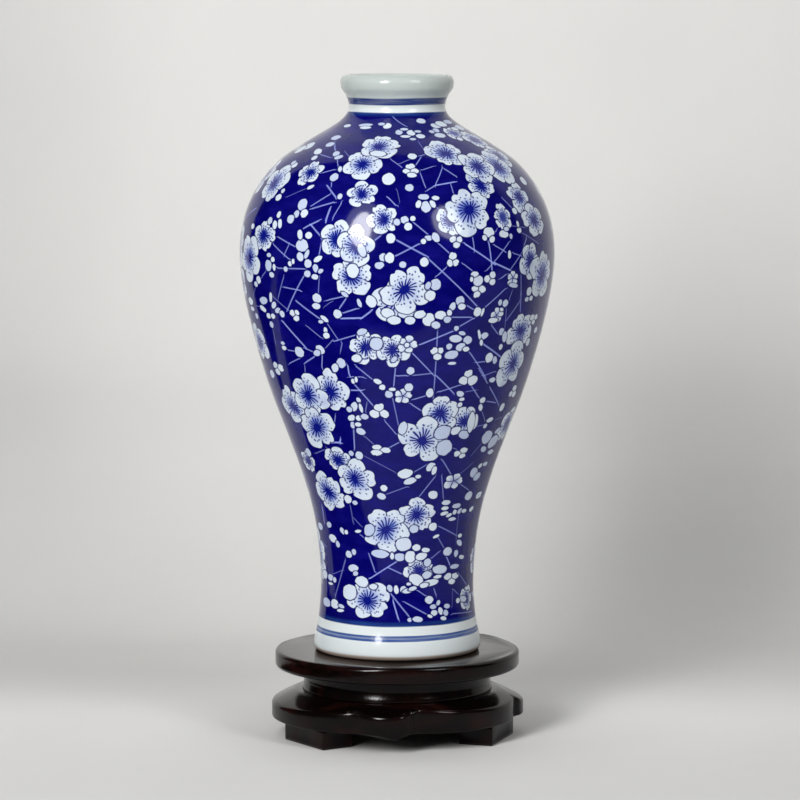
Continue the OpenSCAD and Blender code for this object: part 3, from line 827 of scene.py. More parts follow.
@dataclass(frozen=True)
class Outline:
    """The vase's turned outside, as (radius, height) stations in millimetres, and its wall."""

    stations: tuple = (
        (32.1, 2.4), (31.5, 6.4), (30.3, 12), (29.3, 24), (29.9, 38), (32.1, 53),
        (36.5, 68.5), (42.2, 84), (48.3, 100), (53.9, 118), (58.2, 136), (60, 151.5),
        (58.5, 165), (53.4, 177.2), (45.5, 187), (35.2, 194.3), (25.2, 200.2),
        (19.9, 204.3), (18.3, 208), (19.4, 212), (21.2, 214.8), (21.6, 217),
    )
    wall: float = 4.5

    def curve(self, fine: int = 24) -> np.ndarray:
        """The outside as many points.

        Args:
            fine: points between two stations.

        Returns:
            Rows of radius and height.
        """
        st = np.array(self.stations)
        last = len(st) - 1
        rows = []
        for i in range(last):
            a, b, c, d = (st[min(max(j, 0), last)] for j in (i - 1, i, i + 1, i + 2))
            for t in np.arange(fine) / fine:
                rows.append(0.5 * (2 * b + (c - a) * t + (2 * a - 5 * b + 4 * c - d) * t * t
                                   + (3 * b - a - 3 * c + d) * t ** 3))
        return np.array([*rows, st[-1]])

    @cached_property
    def reaches(self) -> tuple[np.ndarray, np.ndarray]:
        """The outside's points, and each one's distance along it from the foot."""
        points = self.curve()
        steps = np.hypot(*np.diff(points, axis=0).T)
        return points, np.concatenate([[0.0], np.cumsum(steps)])

    def radius_at(self, reach: float) -> float:
        """The vase's radius at a reach."""
        points, along = self.reaches
        return float(np.interp(reach, along, points[:, 0]))

    def degree_at(self, reach: float) -> float:
        """How many millimetres round the vase one degree is at a reach."""
        return self.radius_at(reach) * math.tau / 360

    def slopes(self) -> np.ndarray:
        """The outside's direction at each of its points, as rows of unit length."""
        along = np.gradient(self.reaches[0], axis=0)
        return along / np.linalg.norm(along, axis=1)[:, None]

    def outer(self, low: float, high: float, row: float = 1.1) -> Points:
        """The outside between two heights.

        Args:
            low: the lower height.
            high: the upper height.
            row: about how far apart the points are.

        Returns:
            Points from low to high.
        """
        points, along = self.reaches
        ends = (max(low, points[0, 1]), min(high, points[-1, 1]))
        a, b = (np.interp(h, points[:, 1], along) for h in ends)
        at = np.linspace(a, b, max(2, round((b - a) / row) + 1))
        return [tuple(float(np.interp(s, along, points[:, k])) for k in (0, 1)) for s in at]

    def inner(self, low: float, high: float, row: float = 3.5) -> Points:
        """The inside of the wall between two heights, from high to low."""
        points, _ = self.reaches
        along = self.slopes()
        inside = points + self.wall * np.column_stack([-along[:, 1], along[:, 0]])
        heights = np.linspace(high, low, max(2, round((high - low) / row) + 1))
        return [(float(np.interp(h, inside[:, 1], inside[:, 0])), float(h)) for h in heights]


OUTLINE = Outline()


@dataclass
class Vase:
    """The porcelain vase: four thrown sections, luted together and painted over, in five pieces."""

    turns: int = 288  # faces round the vase
    foot_joint: float = 24.0
    waist_row: float = 84.0  # where the tall body section is shown as two pieces
    body_joint: float = 151.5
    neck_joint: float = 200.2
    bore: float = 13.8
    lip_h: float = 3.0
    flare: float = 2.8
    flare_h: float = 3.5
    floor_z: float = 8.0
    recess_z: float = 3.0
    inner_foot_r: float = 25.2
    ring_inner_r: float = 27.4
    corner: float = 4.0
    throat_step: float = 3.6  # how much wider than the bore the throat is at its joint
    throat_rise: float = 3.4  # from the throat's joint to the bore
    shoulder_inner_top: float = 193.5  # where the shoulder's inside turns in to the throat

    def build(self) -> list[bpy.types.Object]:
        """Builds and dresses every section.

        Returns:
            The pieces.
        """
        decoration = Decoration()
        decoration.compose()
        painting = CobaltPainting()
        finishes = [painting.dress(), ClearGlaze().dress()]
        sections = (
            ("painted_foot", self.foot_profile(), "foot_section"),
            ("painted_lower_body", self.wall_profile(self.foot_joint, self.waist_row), "body_section"),
            ("painted_upper_body", self.wall_profile(self.waist_row, self.body_joint), "body_section"),
            ("painted_shoulder", self.wall_profile(self.body_joint, self.neck_joint), "shoulder_section"),
            ("painted_neck", self.neck_profile(), "mouth_and_neck"),
        )
        pieces = []
        for name, profile, node in sections:
            piece = self.thrown(name, profile)
            for finish in finishes:
                piece.data.materials.append(finish)
            Painter(painting, decoration).paint(piece)
            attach(piece, VASE_BODY)
            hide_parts(node)
            log.info("%s: %d faces", name, len(piece.data.polygons))
            pieces.append(piece)
        return pieces

    def wall_profile(self, low: float, high: float) -> tuple[Points, bool]:
        """A section of wall, which closes in to the throat if it reaches up to the neck's joint.

        Args:
            low: its lower joint.
            high: its upper joint.

        Returns:
            The profile's points, and whether it is a closed loop.
        """
        inside = OUTLINE.inner(low, high)
        if high == self.neck_joint:
            inside = [(self.bore + self.throat_step, high)] + OUTLINE.inner(low, self.shoulder_inner_top)
        return OUTLINE.outer(low, high) + inside, True

    def neck_profile(self) -> tuple[Points, bool]:
        """The neck, the rounded lip, the flare inside it and the straight bore."""
        lip_r, lip_z = OUTLINE.stations[-1]
        middle = (lip_r + self.bore + self.flare) / 2
        half = lip_r - middle
        lip = [
            (middle + half * math.cos(math.radians(a)), lip_z + self.lip_h * math.sin(math.radians(a)))
            for a in range(12, 180, 12)
        ]
        flare = [
            (self.bore + self.flare * (3 * t * t - 2 * t ** 3), lip_z - self.flare_h * (1 - t))
            for t in (1 - k / 8 for k in range(9))
        ]
        low = self.neck_joint + self.throat_rise
        bore = [(self.bore, low + 3.0), (self.bore, low), (self.bore + 0.8, low - 1.6)]
        foot = [(self.bore + self.throat_step, self.neck_joint)]
        return OUTLINE.outer(self.neck_joint, lip_z, 0.7) + lip + flare + bore + foot, True

    def foot_profile(self) -> tuple[Points, bool]:
        """The foot: floor, round inner corner, joint, outside, foot ring and recess."""
        corner = [
            (self.inner_foot_r - self.corner + self.corner * math.cos(math.radians(a)),
             self.floor_z + self.corner + self.corner * math.sin(math.radians(a)))
            for a in range(-90, 1, 15)
        ]
        inside = OUTLINE.inner(self.floor_z + self.corner + 1, self.foot_joint)[::-1]
        outside = OUTLINE.outer(0, self.foot_joint, 0.9)[::-1]
        r, z = outside[-1]
        ring = [
            (r - 2 + 2 * math.cos(math.radians(a)), z + z * math.sin(math.radians(a)))
            for a in range(-15, -91, -15)
        ]
        recess = [
            (self.ring_inner_r + 0.6, 0.0), (self.ring_inner_r, 0.5),
            (self.ring_inner_r - 1.2, self.recess_z), (14.0, self.recess_z + 0.1), (0.0, self.recess_z + 0.1),
        ]
        floor = [(0.0, self.floor_z), (12.0, self.floor_z)]
        return floor + corner + inside + outside + ring + recess, False

    def thrown(self, name: str, profile: tuple[Points, bool]) -> bpy.types.Object:
        """One section, spun from its profile where it stands on the stand."""
        points, closed = profile
        return spun(name, [(r * MM, (z + STAND_H) * MM) for r, z in points], self.turns, closed)


@dataclass(frozen=True)
class ClearGlaze:
    """The plain glazed porcelain inside the vase and under it."""

    body: tuple = (0.70, 0.75, 0.74)
    shade: tuple = (0.60, 0.67, 0.68)

    def dress(self) -> bpy.types.Material:
        """The material, which is faintly uneven, as clear glaze is where it pools."""
        material, t, surface = new_material("clear_glaze")
        pooled = t.noise(t.place(), 60.0, 2.0).ramp(0.3, 0.75)
        t.feed(surface.inputs["Base Color"], t.mix(pooled * 0.6, self.body, self.shade))
        surface.inputs["Roughness"].default_value = 0.09
        t.feed(surface.inputs["Normal"], t.bump(t.noise(t.place(), 120.0, 2.0), 0.0003, 0.3))
        return material


class Painter:
    """Stores the decoration on a section, so that its material can paint it."""

    SKIN = 0.25  # how near the outline a point has to be to count as outside, in millimetres
    LIP_Z = 212.0  # above this the glaze on the lip is the painted one all the way round
    NORMALS_TOP = 216.5
    NO_SPOT = (9.0, 0.0, 0.0)  # far outside any stroke
    NO_MAKE = (1.05, 0.0, 0.0)
    NO_TWIG = (99.0, 0.0, 0.0)

    def __init__(self, painting: CobaltPainting, decoration: Decoration) -> None:
        """Takes the finish and the layout."""
        self.painting = painting
        self.decoration = decoration

    def paint(self, piece: bpy.types.Object) -> None:
        """Gives each outside face the strokes and twigs that reach it.

        Args:
            piece: a section with its materials in place: painted first, clear second.
        """
        mesh = piece.data
        points, along = OUTLINE.reaches
        count = len(mesh.loops)
        where = np.zeros(len(mesh.vertices) * 3)
        mesh.vertices.foreach_get("co", where)
        where = where.reshape(-1, 3) / MM
        corner = np.zeros(count, int)
        mesh.loops.foreach_get("vertex_index", corner)
        face_of = np.repeat(np.arange(len(mesh.polygons)), [p.loop_total for p in mesh.polygons])
        height = where[:, 2] - STAND_H
        radius = np.hypot(where[:, 0], where[:, 1])
        true_radius = np.interp(height, points[:, 1], points[:, 0])
        outside = (np.abs(radius - true_radius) < self.SKIN) & (height > points[0, 1] - 0.01)
        reach = np.interp(height, points[:, 1], along)
        azimuth = np.degrees(np.arctan2(where[:, 0], -where[:, 1]))

        # faces whose corners are all outside are painted; the rest, but for lip and foot ring, are clear
        faces = len(mesh.polygons)
        total = np.bincount(face_of, minlength=faces)
        painted = np.bincount(face_of, outside[corner], faces) == total
        middle_reach = np.bincount(face_of, reach[corner], faces) / total
        middle = np.zeros(faces * 3)
        mesh.polygons.foreach_get("center", middle)
        middle = middle.reshape(-1, 3) / MM
        middle_azimuth = np.degrees(np.arctan2(middle[:, 0], -middle[:, 1]))
        middle_radius = np.hypot(middle[:, 0], middle[:, 1])
        middle_z = middle[:, 2] - STAND_H
        clear = ~(painted | (middle_z < points[0, 1]) | (middle_z > self.LIP_Z))
        mesh.polygons.foreach_set("material_index", clear.astype(np.int32))

        stack = self.strokes_on(painted, middle_azimuth, middle_reach, middle_radius)
        for layer in range(self.painting.layers):
            which = stack[:, layer][face_of]
            self.store_strokes(mesh, layer, which, azimuth[corner], reach[corner], radius[corner])
        lines = self.twigs_on(painted, middle_azimuth, middle_reach)
        for layer in range(self.painting.twig_layers):
            self.store_twigs(mesh, layer, lines[:, layer][face_of], azimuth[corner], reach[corner])
        self.true_normals(mesh, face_of, painted, corner, height, azimuth)

    def strokes_on(self, painted: np.ndarray, azimuth: np.ndarray, reach: np.ndarray,
                   radius: np.ndarray) -> np.ndarray:
        """Which strokes reach each face, the topmost in the last column, -1 for none."""
        stack = np.full((len(painted), self.painting.layers), -1)
        for i, stroke in enumerate(self.decoration.strokes):
            u, v = in_stroke(stroke, azimuth, reach, radius)
            size = math.sqrt(stroke.wide * stroke.high)
            near = painted & (np.hypot(u, v) < 1.16 + 0.8 / size)
            stack[near, :-1] = stack[near, 1:]
            stack[near, -1] = i
        return stack

    def store_strokes(self, mesh: bpy.types.Mesh, layer: int, which: np.ndarray, azimuth: np.ndarray,
                      reach: np.ndarray, radius: np.ndarray) -> None:
        """Writes one layer's place-in-stroke and make, corner by corner."""
        spot = np.full((len(which), 3), self.NO_SPOT, np.float32)
        make = np.full((len(which), 3), self.NO_MAKE, np.float32)
        for i in np.unique(which[which >= 0]):
            stroke = self.decoration.strokes[i]
            here = which == i
            u, v = in_stroke(stroke, azimuth[here], reach[here], radius[here])
            petals, apart, wash = stroke.motif.value
            size = math.sqrt(stroke.wide * stroke.high)
            spot[here] = np.column_stack([u, v, np.full(len(u), 1 + (i * 7) % 97)])
            make[here] = (petals + size / 100, apart, wash)
        write_vectors(mesh, f"spot_{layer}", spot)
        write_vectors(mesh, f"make_{layer}", make)

    def twigs_on(self, painted: np.ndarray, azimuth: np.ndarray, reach: np.ndarray) -> np.ndarray:
        """Which twigs cross each face, the topmost in the last column, -1 for none."""
        stack = np.full((len(painted), self.painting.twig_layers), -1)
        for i, twig in enumerate(self.decoration.twigs):
            across, along, length = on_twig(twig, azimuth, reach)
            near = painted & (np.abs(across) < 1.3) & (along > -1.0) & (along < length + 1.0)
            stack[near, :-1] = stack[near, 1:]
            stack[near, -1] = i
        return stack

    def store_twigs(self, mesh: bpy.types.Mesh, layer: int, which: np.ndarray, azimuth: np.ndarray,
                    reach: np.ndarray) -> None:
        """Writes one layer's distance across and along its twig, and how light it is."""
        line = np.full((len(which), 3), self.NO_TWIG, np.float32)
        for i in np.unique(which[which >= 0]):
            twig = self.decoration.twigs[i]
            here = which == i
            across, along, length = on_twig(twig, azimuth[here], reach[here])
            beyond = np.maximum(np.maximum(-along, along - length), 0.0)
            distance = np.sign(across) * np.hypot(across, beyond) / (twig.width / 2)
            line[here] = np.column_stack([distance, along, np.full(len(along), twig.light)])
        write_vectors(mesh, f"twig_{layer}", line)

    def true_normals(self, mesh: bpy.types.Mesh, face_of: np.ndarray, painted: np.ndarray, corner: np.ndarray,
                     height: np.ndarray, azimuth: np.ndarray) -> None:
        """Sets the outside's normals from the turned curve, so that no joint shows between sections."""
        points, _ = OUTLINE.reaches
        slope = OUTLINE.slopes()
        outward = np.interp(height, points[:, 1], slope[:, 1])
        upward = -np.interp(height, points[:, 1], slope[:, 0])
        turn = np.radians(azimuth)
        normals = np.column_stack([outward * np.sin(turn), -outward * np.cos(turn), upward])
        rows = np.zeros((len(corner), 3), np.float32)
        on = painted[face_of] & (height[corner] < self.NORMALS_TOP) & (height[corner] > points[0, 1] + 0.5)
        rows[on] = normals[corner][on]
        mesh.normals_split_custom_set(rows)


def in_stroke(stroke: Stroke, azimuth: np.ndarray, reach: np.ndarray,
              radius: np.ndarray) -> tuple[np.ndarray, np.ndarray]:
    """Points in a stroke's own square, where its edge is about 1 from its middle.

    Args:
        stroke: the stroke.
        azimuth: the points' azimuths.
        reach: their reaches.
        radius: the vase's radius there.

    Returns:
        Two arrays, across and up.
    """
    x = np.radians(short_way(azimuth - stroke.azimuth)) * radius
    y = reach - stroke.reach
    c, s = math.cos(math.radians(stroke.turn)), math.sin(math.radians(stroke.turn))
    if stroke.motif.value[0] == 1:  # a drop is turned, then stretched
        return (x * c + y * s) / stroke.wide, (y * c - x * s) / stroke.high
    x, y = x / stroke.wide, y / stroke.high  # a blossom is turned within its stretched round
    return x * c + y * s, y * c - x * s


def on_twig(twig: Twig, azimuth: np.ndarray, reach: np.ndarray) -> tuple[np.ndarray, np.ndarray, float]:
    """Distances across and along a twig in millimetres, and its length."""
    girth = math.radians(1) * OUTLINE.radius_at((twig.reach_a + twig.reach_b) / 2)
    run = np.array([short_way(twig.azimuth_b - twig.azimuth_a) * girth, twig.reach_b - twig.reach_a])
    length = float(np.hypot(*run))
    run /= length
    x = short_way(azimuth - twig.azimuth_a) * girth
    y = reach - twig.reach_a
    return y * run[0] - x * run[1], x * run[0] + y * run[1], length


def write_vectors(mesh: bpy.types.Mesh, name: str, rows: np.ndarray) -> None:
    """Stores one vector for each face corner."""
    attribute = mesh.attributes.new(name, "FLOAT_VECTOR", "CORNER")
    attribute.data.foreach_set("vector", rows.astype(np.float32).ravel())


def finished(name: str, bm: bmesh.types.BMesh, smooth: bool = True) -> bpy.types.Object:
    """Turns a bmesh into a linked object at the origin.

    Args:
        name: the object's name.
        bm: the mesh, which is freed.
        smooth: whether its faces are shaded smooth.

    Returns:
        The object.
    """
    mesh = bpy.data.meshes.new(name)
    for face in bm.faces:
        face.smooth = smooth
    bm.to_mesh(mesh)
    bm.free()
    piece = bpy.data.objects.new(name, mesh)
    bpy.context.scene.collection.objects.link(piece)
    return piece


def spun(name: str, points: Points, steps: int, closed: bool = False) -> bpy.types.Object:
    """Spins a profile round the z axis.

    Args:
        name: the object's name.
        points: the profile's radii and heights in metres.
        steps: how many faces go round.
        closed: whether the points close into a loop.

    Returns:
        The object, with smooth faces.
    """
    bm = bmesh.new()
    verts = [bm.verts.new((r, 0.0, z)) for r, z in points]
    edges = [bm.edges.new(pair) for pair in zip(verts, verts[1:])]
    if closed:
        edges.append(bm.edges.new((verts[-1], verts[0])))
    bmesh.ops.spin(
        bm, geom=verts + edges, cent=(0, 0, 0), axis=(0, 0, 1), dvec=(0, 0, 0),
        angle=math.tau, steps=steps, use_merge=True,
    )
    bmesh.ops.remove_doubles(bm, verts=bm.verts, dist=1e-6)
    bmesh.ops.recalc_face_normals(bm, faces=bm.faces)
    return finished(name, bm)


def unit(value: float) -> float:
    """A number kept from 0 to 1."""
    return max(0.0, min(1.0, value))


def short_way(degrees: np.ndarray | float) -> np.ndarray | float:
    """The same angle, from -180 up to 180."""
    return (degrees + 180) % 360 - 180


# ---------------------------------------------------------------- the stand


class Grain(Enum):
    """Which way a wooden piece's grain runs."""

    ALONG_X = (6.0, 46.0, 46.0)
    UPRIGHT = (46.0, 46.0, 7.0)


@dataclass(frozen=True)
class BlackLacquer:
    """Dark stained wood under gloss lacquer."""

    stain: tuple = (0.0022, 0.0010, 0.0009)
    heart: tuple = (0.014, 0.0038, 0.0028)
    pore: tuple = (0.0012, 0.0008, 0.0008)

    def dress(self, grain: Grain, name: str) -> bpy.types.Material:
        """The material.

        Args:
            grain: which way the grain runs.
            name: the material's name.

        Returns:
            A lacquered wood.
        """
        material, t, surface = new_material(name)
        x, y, z = t.split(t.place())
        gx, gy, gz = grain.value
        along = t.join(x * gx, y * gy, z * gz)
        sway = t.noise(along, 0.9, 2.0)
        bands = t.noise(t.join(x * gx + sway * 1.6, y * gy + sway * 1.6, z * gz + sway * 1.6), 2.6, 4.0, 0.62)
        pores = t.noise(t.join(x * gx * 5.0, y * gy * 5.0, z * gz * 5.0), 3.0, 3.0, 0.7)
        colour = t.mix(bands.ramp(0.40, 0.72), self.stain, self.heart)
        colour = t.mix(pores.ramp(0.60, 0.74) * 0.8, colour, self.pore)
        t.feed(surface.inputs["Base Color"], colour)
        t.feed(surface.inputs["Roughness"], pores * 0.10 + 0.10)
        surface.inputs["IOR"].default_value = 1.34
        relief = pores * 0.5 + t.noise(t.place(), 210.0, 3.0) * 0.8
        t.feed(surface.inputs["Normal"], t.bump(relief, 0.00016, 0.5))
        return material


def edges_at(bm: bmesh.types.BMesh, z: float) -> list[bmesh.types.BMEdge]:
    """The edges that lie at a height."""
    return [e for e in bm.edges if all(abs(v.co.z - z) < LEVEL for v in e.verts)]


@dataclass
class Stand:
    """The stand: a round disc, a waist block, a lobed plate with pointed drops, and three feet."""

    foot_h: float = 7.6
    plate_t: float = 10.4
    waist_h: float = 9.0
    disc_t: float = 6.5
    disc_r: float = 46.9
    disc_arris: float = 1.4
    waist_r: float = 36.5
    waist_cove: float = 0.7
    notch: float = 3.6
    fullness: float = 0.4
    lobes: tuple = (
        (-19, 8, 46.5, 46.5), (8, 84, 43.5, 47.5), (84, 111, 48.8, 49.2),
        (111, 215, 48, 48), (215, 242, 46.5, 46.5), (242, 341, 49.4, 46.5),
    )
    shoulder_r: float = 49.6  # the plate's top falls away from the flat towards this radius
    shoulder_flat: float = 39.0
    shoulder_h: float = 5.4
    shoulder_bulge: float = 1.8  # 1 is a quarter ellipse, 2 is a straight slope
    slope_rings: tuple = (1.0, 0.86, 0.72, 0.57, 0.42, 0.28, 0.15, 0.06, 0.0)  # from the rim to the flat
    plate_inset: float = 3.2
    plate_arris: tuple = (0.9, 4)  # how far the edge is broken, and in how many faces
    plate_lower_arris: tuple = (0.5, 2)
    cusps: tuple = (-1.5, 131, 248)
    cusp_h: float = 1.9
    cusp_half: float = 8.5  # degrees
    feet: tuple = (("stand_foot_front_left", "foot_front_left", -56), ("stand_foot_right", "foot_right", 71),
                   ("stand_foot_back", "foot_back", 190))
    foot_face: float = 42.8
    foot_w: float = 27.0
    foot_depth: float = 13.4
    foot_arris: float = 0.55

    def build(self) -> list[bpy.types.Object]:
        """Builds and dresses the stand's pieces.

        Returns:
            The new pieces.
        """
        lacquer = BlackLacquer()
        board = lacquer.dress(Grain.ALONG_X, "lacquer_board")
        block = lacquer.dress(Grain.UPRIGHT, "lacquer_block")
        pieces = [
            (self.disc(), "top_disc", board),
            (self.waist(), "waist_block", block),
            (self.plate(), "lobed_plate", board),
        ]
        pieces += [(self.foot(name, azimuth), node, block) for name, node, azimuth in self.feet]
        for piece, node, finish in pieces:
            piece.data.materials.append(finish)
            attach(piece, STAND_BODY)
            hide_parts(node)
            log.info("%s: %d faces", piece.name, len(piece.data.polygons))
        return [piece for piece, _, _ in pieces]

    def disc(self) -> bpy.types.Object:
        """The round top disc, with both rims rounded by hand."""
        bm = bmesh.new()
        bmesh.ops.create_cone(
            bm, cap_ends=True, segments=256, radius1=self.disc_r * MM, radius2=self.disc_r * MM,
            depth=self.disc_t * MM,
        )
        low = self.foot_h + self.plate_t + self.waist_h
        bmesh.ops.translate(bm, verts=bm.verts, vec=(0, 0, (low + self.disc_t / 2) * MM))
        top = (low + self.disc_t) * MM
        rims = [
            e for e in bm.edges
            if abs(e.verts[0].co.z - e.verts[1].co.z) < LEVEL and {len(f.verts) for f in e.link_faces} != {4}
        ]
        bmesh.ops.bevel(
            bm, geom=rims, offset=self.disc_arris * MM, segments=6, profile=0.5, affect="EDGES", material=-1,
        )
        for v in bm.verts:  # the upper rim swells and thins a little
            r = math.hypot(v.co.x, v.co.y)
            edge = min(1.0, (r - (self.disc_r - 3) * MM) / (2.6 * MM))
            if edge > 0 and top - self.disc_t * MM * 0.55 < v.co.z < top - 1e-6:
                turn = math.atan2(v.co.x, -v.co.y)
                swell = 0.16 * math.sin(6 * turn + 0.5) + 0.10 * math.sin(11 * turn + 2.0)
                v.co.z += swell * MM * edge
        return finished("stand_disc", bm)

    def waist(self) -> bpy.types.Object:
        """The waist block, with a shallow cove turned round it."""
        low = (self.foot_h + self.plate_t) * MM
        high = low + self.waist_h * MM
        r = self.waist_r * MM
        fillet = 0.09 * (high - low)
        cove = [
            (r - self.waist_cove * MM * math.sin(math.pi * k / 8), low + (high - low) * (0.12 + 0.76 * k / 8))
            for k in range(9)
        ]
        below = [(0.0, low), (r, low), (r, low + fillet)]
        above = [(r, high - fillet), (r, high), (0.0, high)]
        return spun("stand_waist", below + cove + above, 160)

    def soft_radius(self, azimuth: float) -> float:
        """The plate's radius with its notches eased, the front ones the most."""
        ease = 4.2 if -32 < short_way(azimuth) < 22 else 1.3  # in degrees
        return sum(self.plate_radius(azimuth + ease * k / 4) for k in range(-4, 5)) / 9

    def plate_radius(self, azimuth: float) -> float:
        """The lobed plate's radius at an azimuth."""
        for first, last, r_first, r_last in self.lobes:
            for turn in (azimuth, azimuth + 360, azimuth - 360):
                if first <= turn < last:
                    u = (turn - first) / (last - first)
                    notch = self.notch * (1 - math.sin(math.pi * u) ** self.fullness)
                    return r_first + (r_last - r_first) * u - notch
        raise ValueError(f"no lobe at {azimuth}")

    def top_at(self, r: float) -> float:
        """The height of the plate's top at a radius: flat in the middle, sloping at the rim."""
        share = unit((r - self.shoulder_flat) / (self.shoulder_r - self.shoulder_flat))
        rise = math.sin(math.acos(share ** (1 / self.shoulder_bulge))) ** self.shoulder_bulge
        return self.foot_h + self.plate_t - self.shoulder_h * (1 - rise)

    def drop_at(self, azimuth: float) -> float:
        """How far the plate's lower edge hangs at an azimuth: the carved points, bracket-shaped."""
        hang = 0.0
        for cusp in self.cusps:
            off = abs(short_way(azimuth - cusp)) / self.cusp_half
            if off < 1:
                hang = max(hang, self.cusp_h * (1 - off) ** 1.9)
        return hang

    def plate(self) -> bpy.types.Object:
        """The lobed plate: a level bottom, upright sides, a sloping top, and carved points below."""
        bm = bmesh.new()
        steps = []
        for first, last, _, _ in self.lobes:
            count = max(16, round((last - first) * 0.9))
            # closer together towards the notches, where the lobe turns in
            shares = (0.5 - 0.5 * math.cos(math.pi * k / count) for k in range(count))
            steps += [first + (last - first) * share for share in shares]
        rim = []
        for azimuth in steps:
            r = self.soft_radius(azimuth) * MM
            turn = math.radians(azimuth)
            rim.append(bm.verts.new((r * math.sin(turn), -r * math.cos(turn), self.foot_h * MM)))
        base = bm.faces.new(rim)
        ring = list(base.edges)
        bmesh.ops.inset_region(bm, faces=[base], thickness=self.plate_inset * MM, use_even_offset=True)
        arris = []
        for share in self.slope_rings:
            grown = bmesh.ops.extrude_edge_only(bm, edges=ring)["geom"]
            for v in (g for g in grown if isinstance(g, bmesh.types.BMVert)):
                turn = math.atan2(v.co.x, -v.co.y)
                r = self.shoulder_flat + (self.soft_radius(math.degrees(turn)) - self.shoulder_flat) * share
                v.co = Vector((r * math.sin(turn), -r * math.cos(turn), self.top_at(r))) * MM
            ring = [g for g in grown if isinstance(g, bmesh.types.BMEdge) and len(g.link_faces) == 1]
            arris = arris or list(ring)
        bmesh.ops.holes_fill(bm, edges=ring, sides=len(ring))
        bmesh.ops.recalc_face_normals(bm, faces=bm.faces)
        low = [e for e in edges_at(bm, self.foot_h * MM) if any(abs(f.normal.z) < 0.3 for f in e.link_faces)]
        for edges, (offset, segments) in ((arris, self.plate_arris), (low, self.plate_lower_arris)):
            bmesh.ops.bevel(
                bm, geom=[e for e in edges if e.is_valid], offset=offset * MM, segments=segments,
                profile=0.5, affect="EDGES", material=-1, clamp_overlap=False,
            )
        base_z = self.foot_h * MM
        high = (self.foot_h + self.plate_t - self.shoulder_h) * MM
        for v in bm.verts:
            azimuth = math.degrees(math.atan2(v.co.x, -v.co.y))
            depth = self.soft_radius(azimuth) - math.hypot(v.co.x, v.co.y) / MM
            share = unit((3.0 - depth) / 1.4) * unit((high - v.co.z) / (high - base_z) * 1.6 - 0.6)
            v.co.z -= self.drop_at(azimuth) * MM * share  # all of it at the lower edge, none at the top
        return finished("stand_plate", bm)

    def foot(self, name: str, azimuth: float) -> bpy.types.Object:
        """One block foot.

        Args:
            name: its name.
            azimuth: where it stands, in degrees.

        Returns:
            The foot, with its edges broken.
        """
        bm = bmesh.new()
        bmesh.ops.create_cube(bm, size=1.0)
        bmesh.ops.scale(bm, verts=bm.verts, vec=(self.foot_w * MM, self.foot_depth * MM, self.foot_h * MM))
        bmesh.ops.bevel(
            bm, geom=list(bm.edges), offset=self.foot_arris * MM, segments=3, profile=0.5,
            affect="EDGES", material=-1,
        )
        long = [e for e in bm.edges if e.calc_length() > 5 * MM]
        bmesh.ops.subdivide_edges(bm, edges=long, cuts=3, use_grid_fill=True)
        middle = (0, -(self.foot_face - self.foot_depth / 2) * MM, self.foot_h / 2 * MM)
        bmesh.ops.translate(bm, verts=bm.verts, vec=middle)
        around = Matrix.Rotation(math.radians(azimuth), 3, "Z")
        bmesh.ops.rotate(bm, verts=bm.verts, cent=(0, 0, 0), matrix=around)
        return finished(name, bm)


@dataclass(frozen=True)
class Fastenings:
    """The finishes of the steel screws and birch dowels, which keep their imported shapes."""

    steel: tuple = (0.42, 0.41, 0.38)
    worn: tuple = (0.20, 0.19, 0.17)
    birch: tuple = (0.52, 0.34, 0.19)
    birch_dark: tuple = (0.33, 0.19, 0.10)

    def dress(self, nodes: dict[str, bpy.types.Object]) -> None:
        """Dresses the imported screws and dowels.

        Args:
            nodes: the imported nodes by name.
        """
        material, t, surface = new_material("screw_steel")
        scratched = t.noise(t.place(), 1400.0, 3.0, 0.7)
        t.feed(surface.inputs["Base Color"], t.mix(scratched.ramp(0.4, 0.7), self.steel, self.worn))
        surface.inputs["Metallic"].default_value = 1.0
        t.feed(surface.inputs["Roughness"], scratched * 0.3 + 0.25)
        self.give(nodes["waist_screws"], material)
        material, t, surface = new_material("dowel_birch")
        x, y, z = t.split(t.place())
        fibre = t.noise(t.join(x * 900.0, y * 900.0, z * 90.0), 1.0, 4.0, 0.65)
        t.feed(surface.inputs["Base Color"], t.mix(fibre.ramp(0.35, 0.7), self.birch, self.birch_dark))
        surface.inputs["Roughness"].default_value = 0.62
        t.feed(surface.inputs["Normal"], t.bump(fibre, 0.0002, 0.4))
        self.give(nodes["foot_dowels"], material)

    def give(self, node: bpy.types.Object, material: bpy.types.Material) -> None:
        """Puts a material in all of a node's slots."""
        for slot in node.material_slots:
            slot.material = material
        if not node.material_slots:
            node.data.materials.append(material)
        log.info("%s: dressed in %s", node.name, material.name)


# ---------------------------------------------------------------- the studio


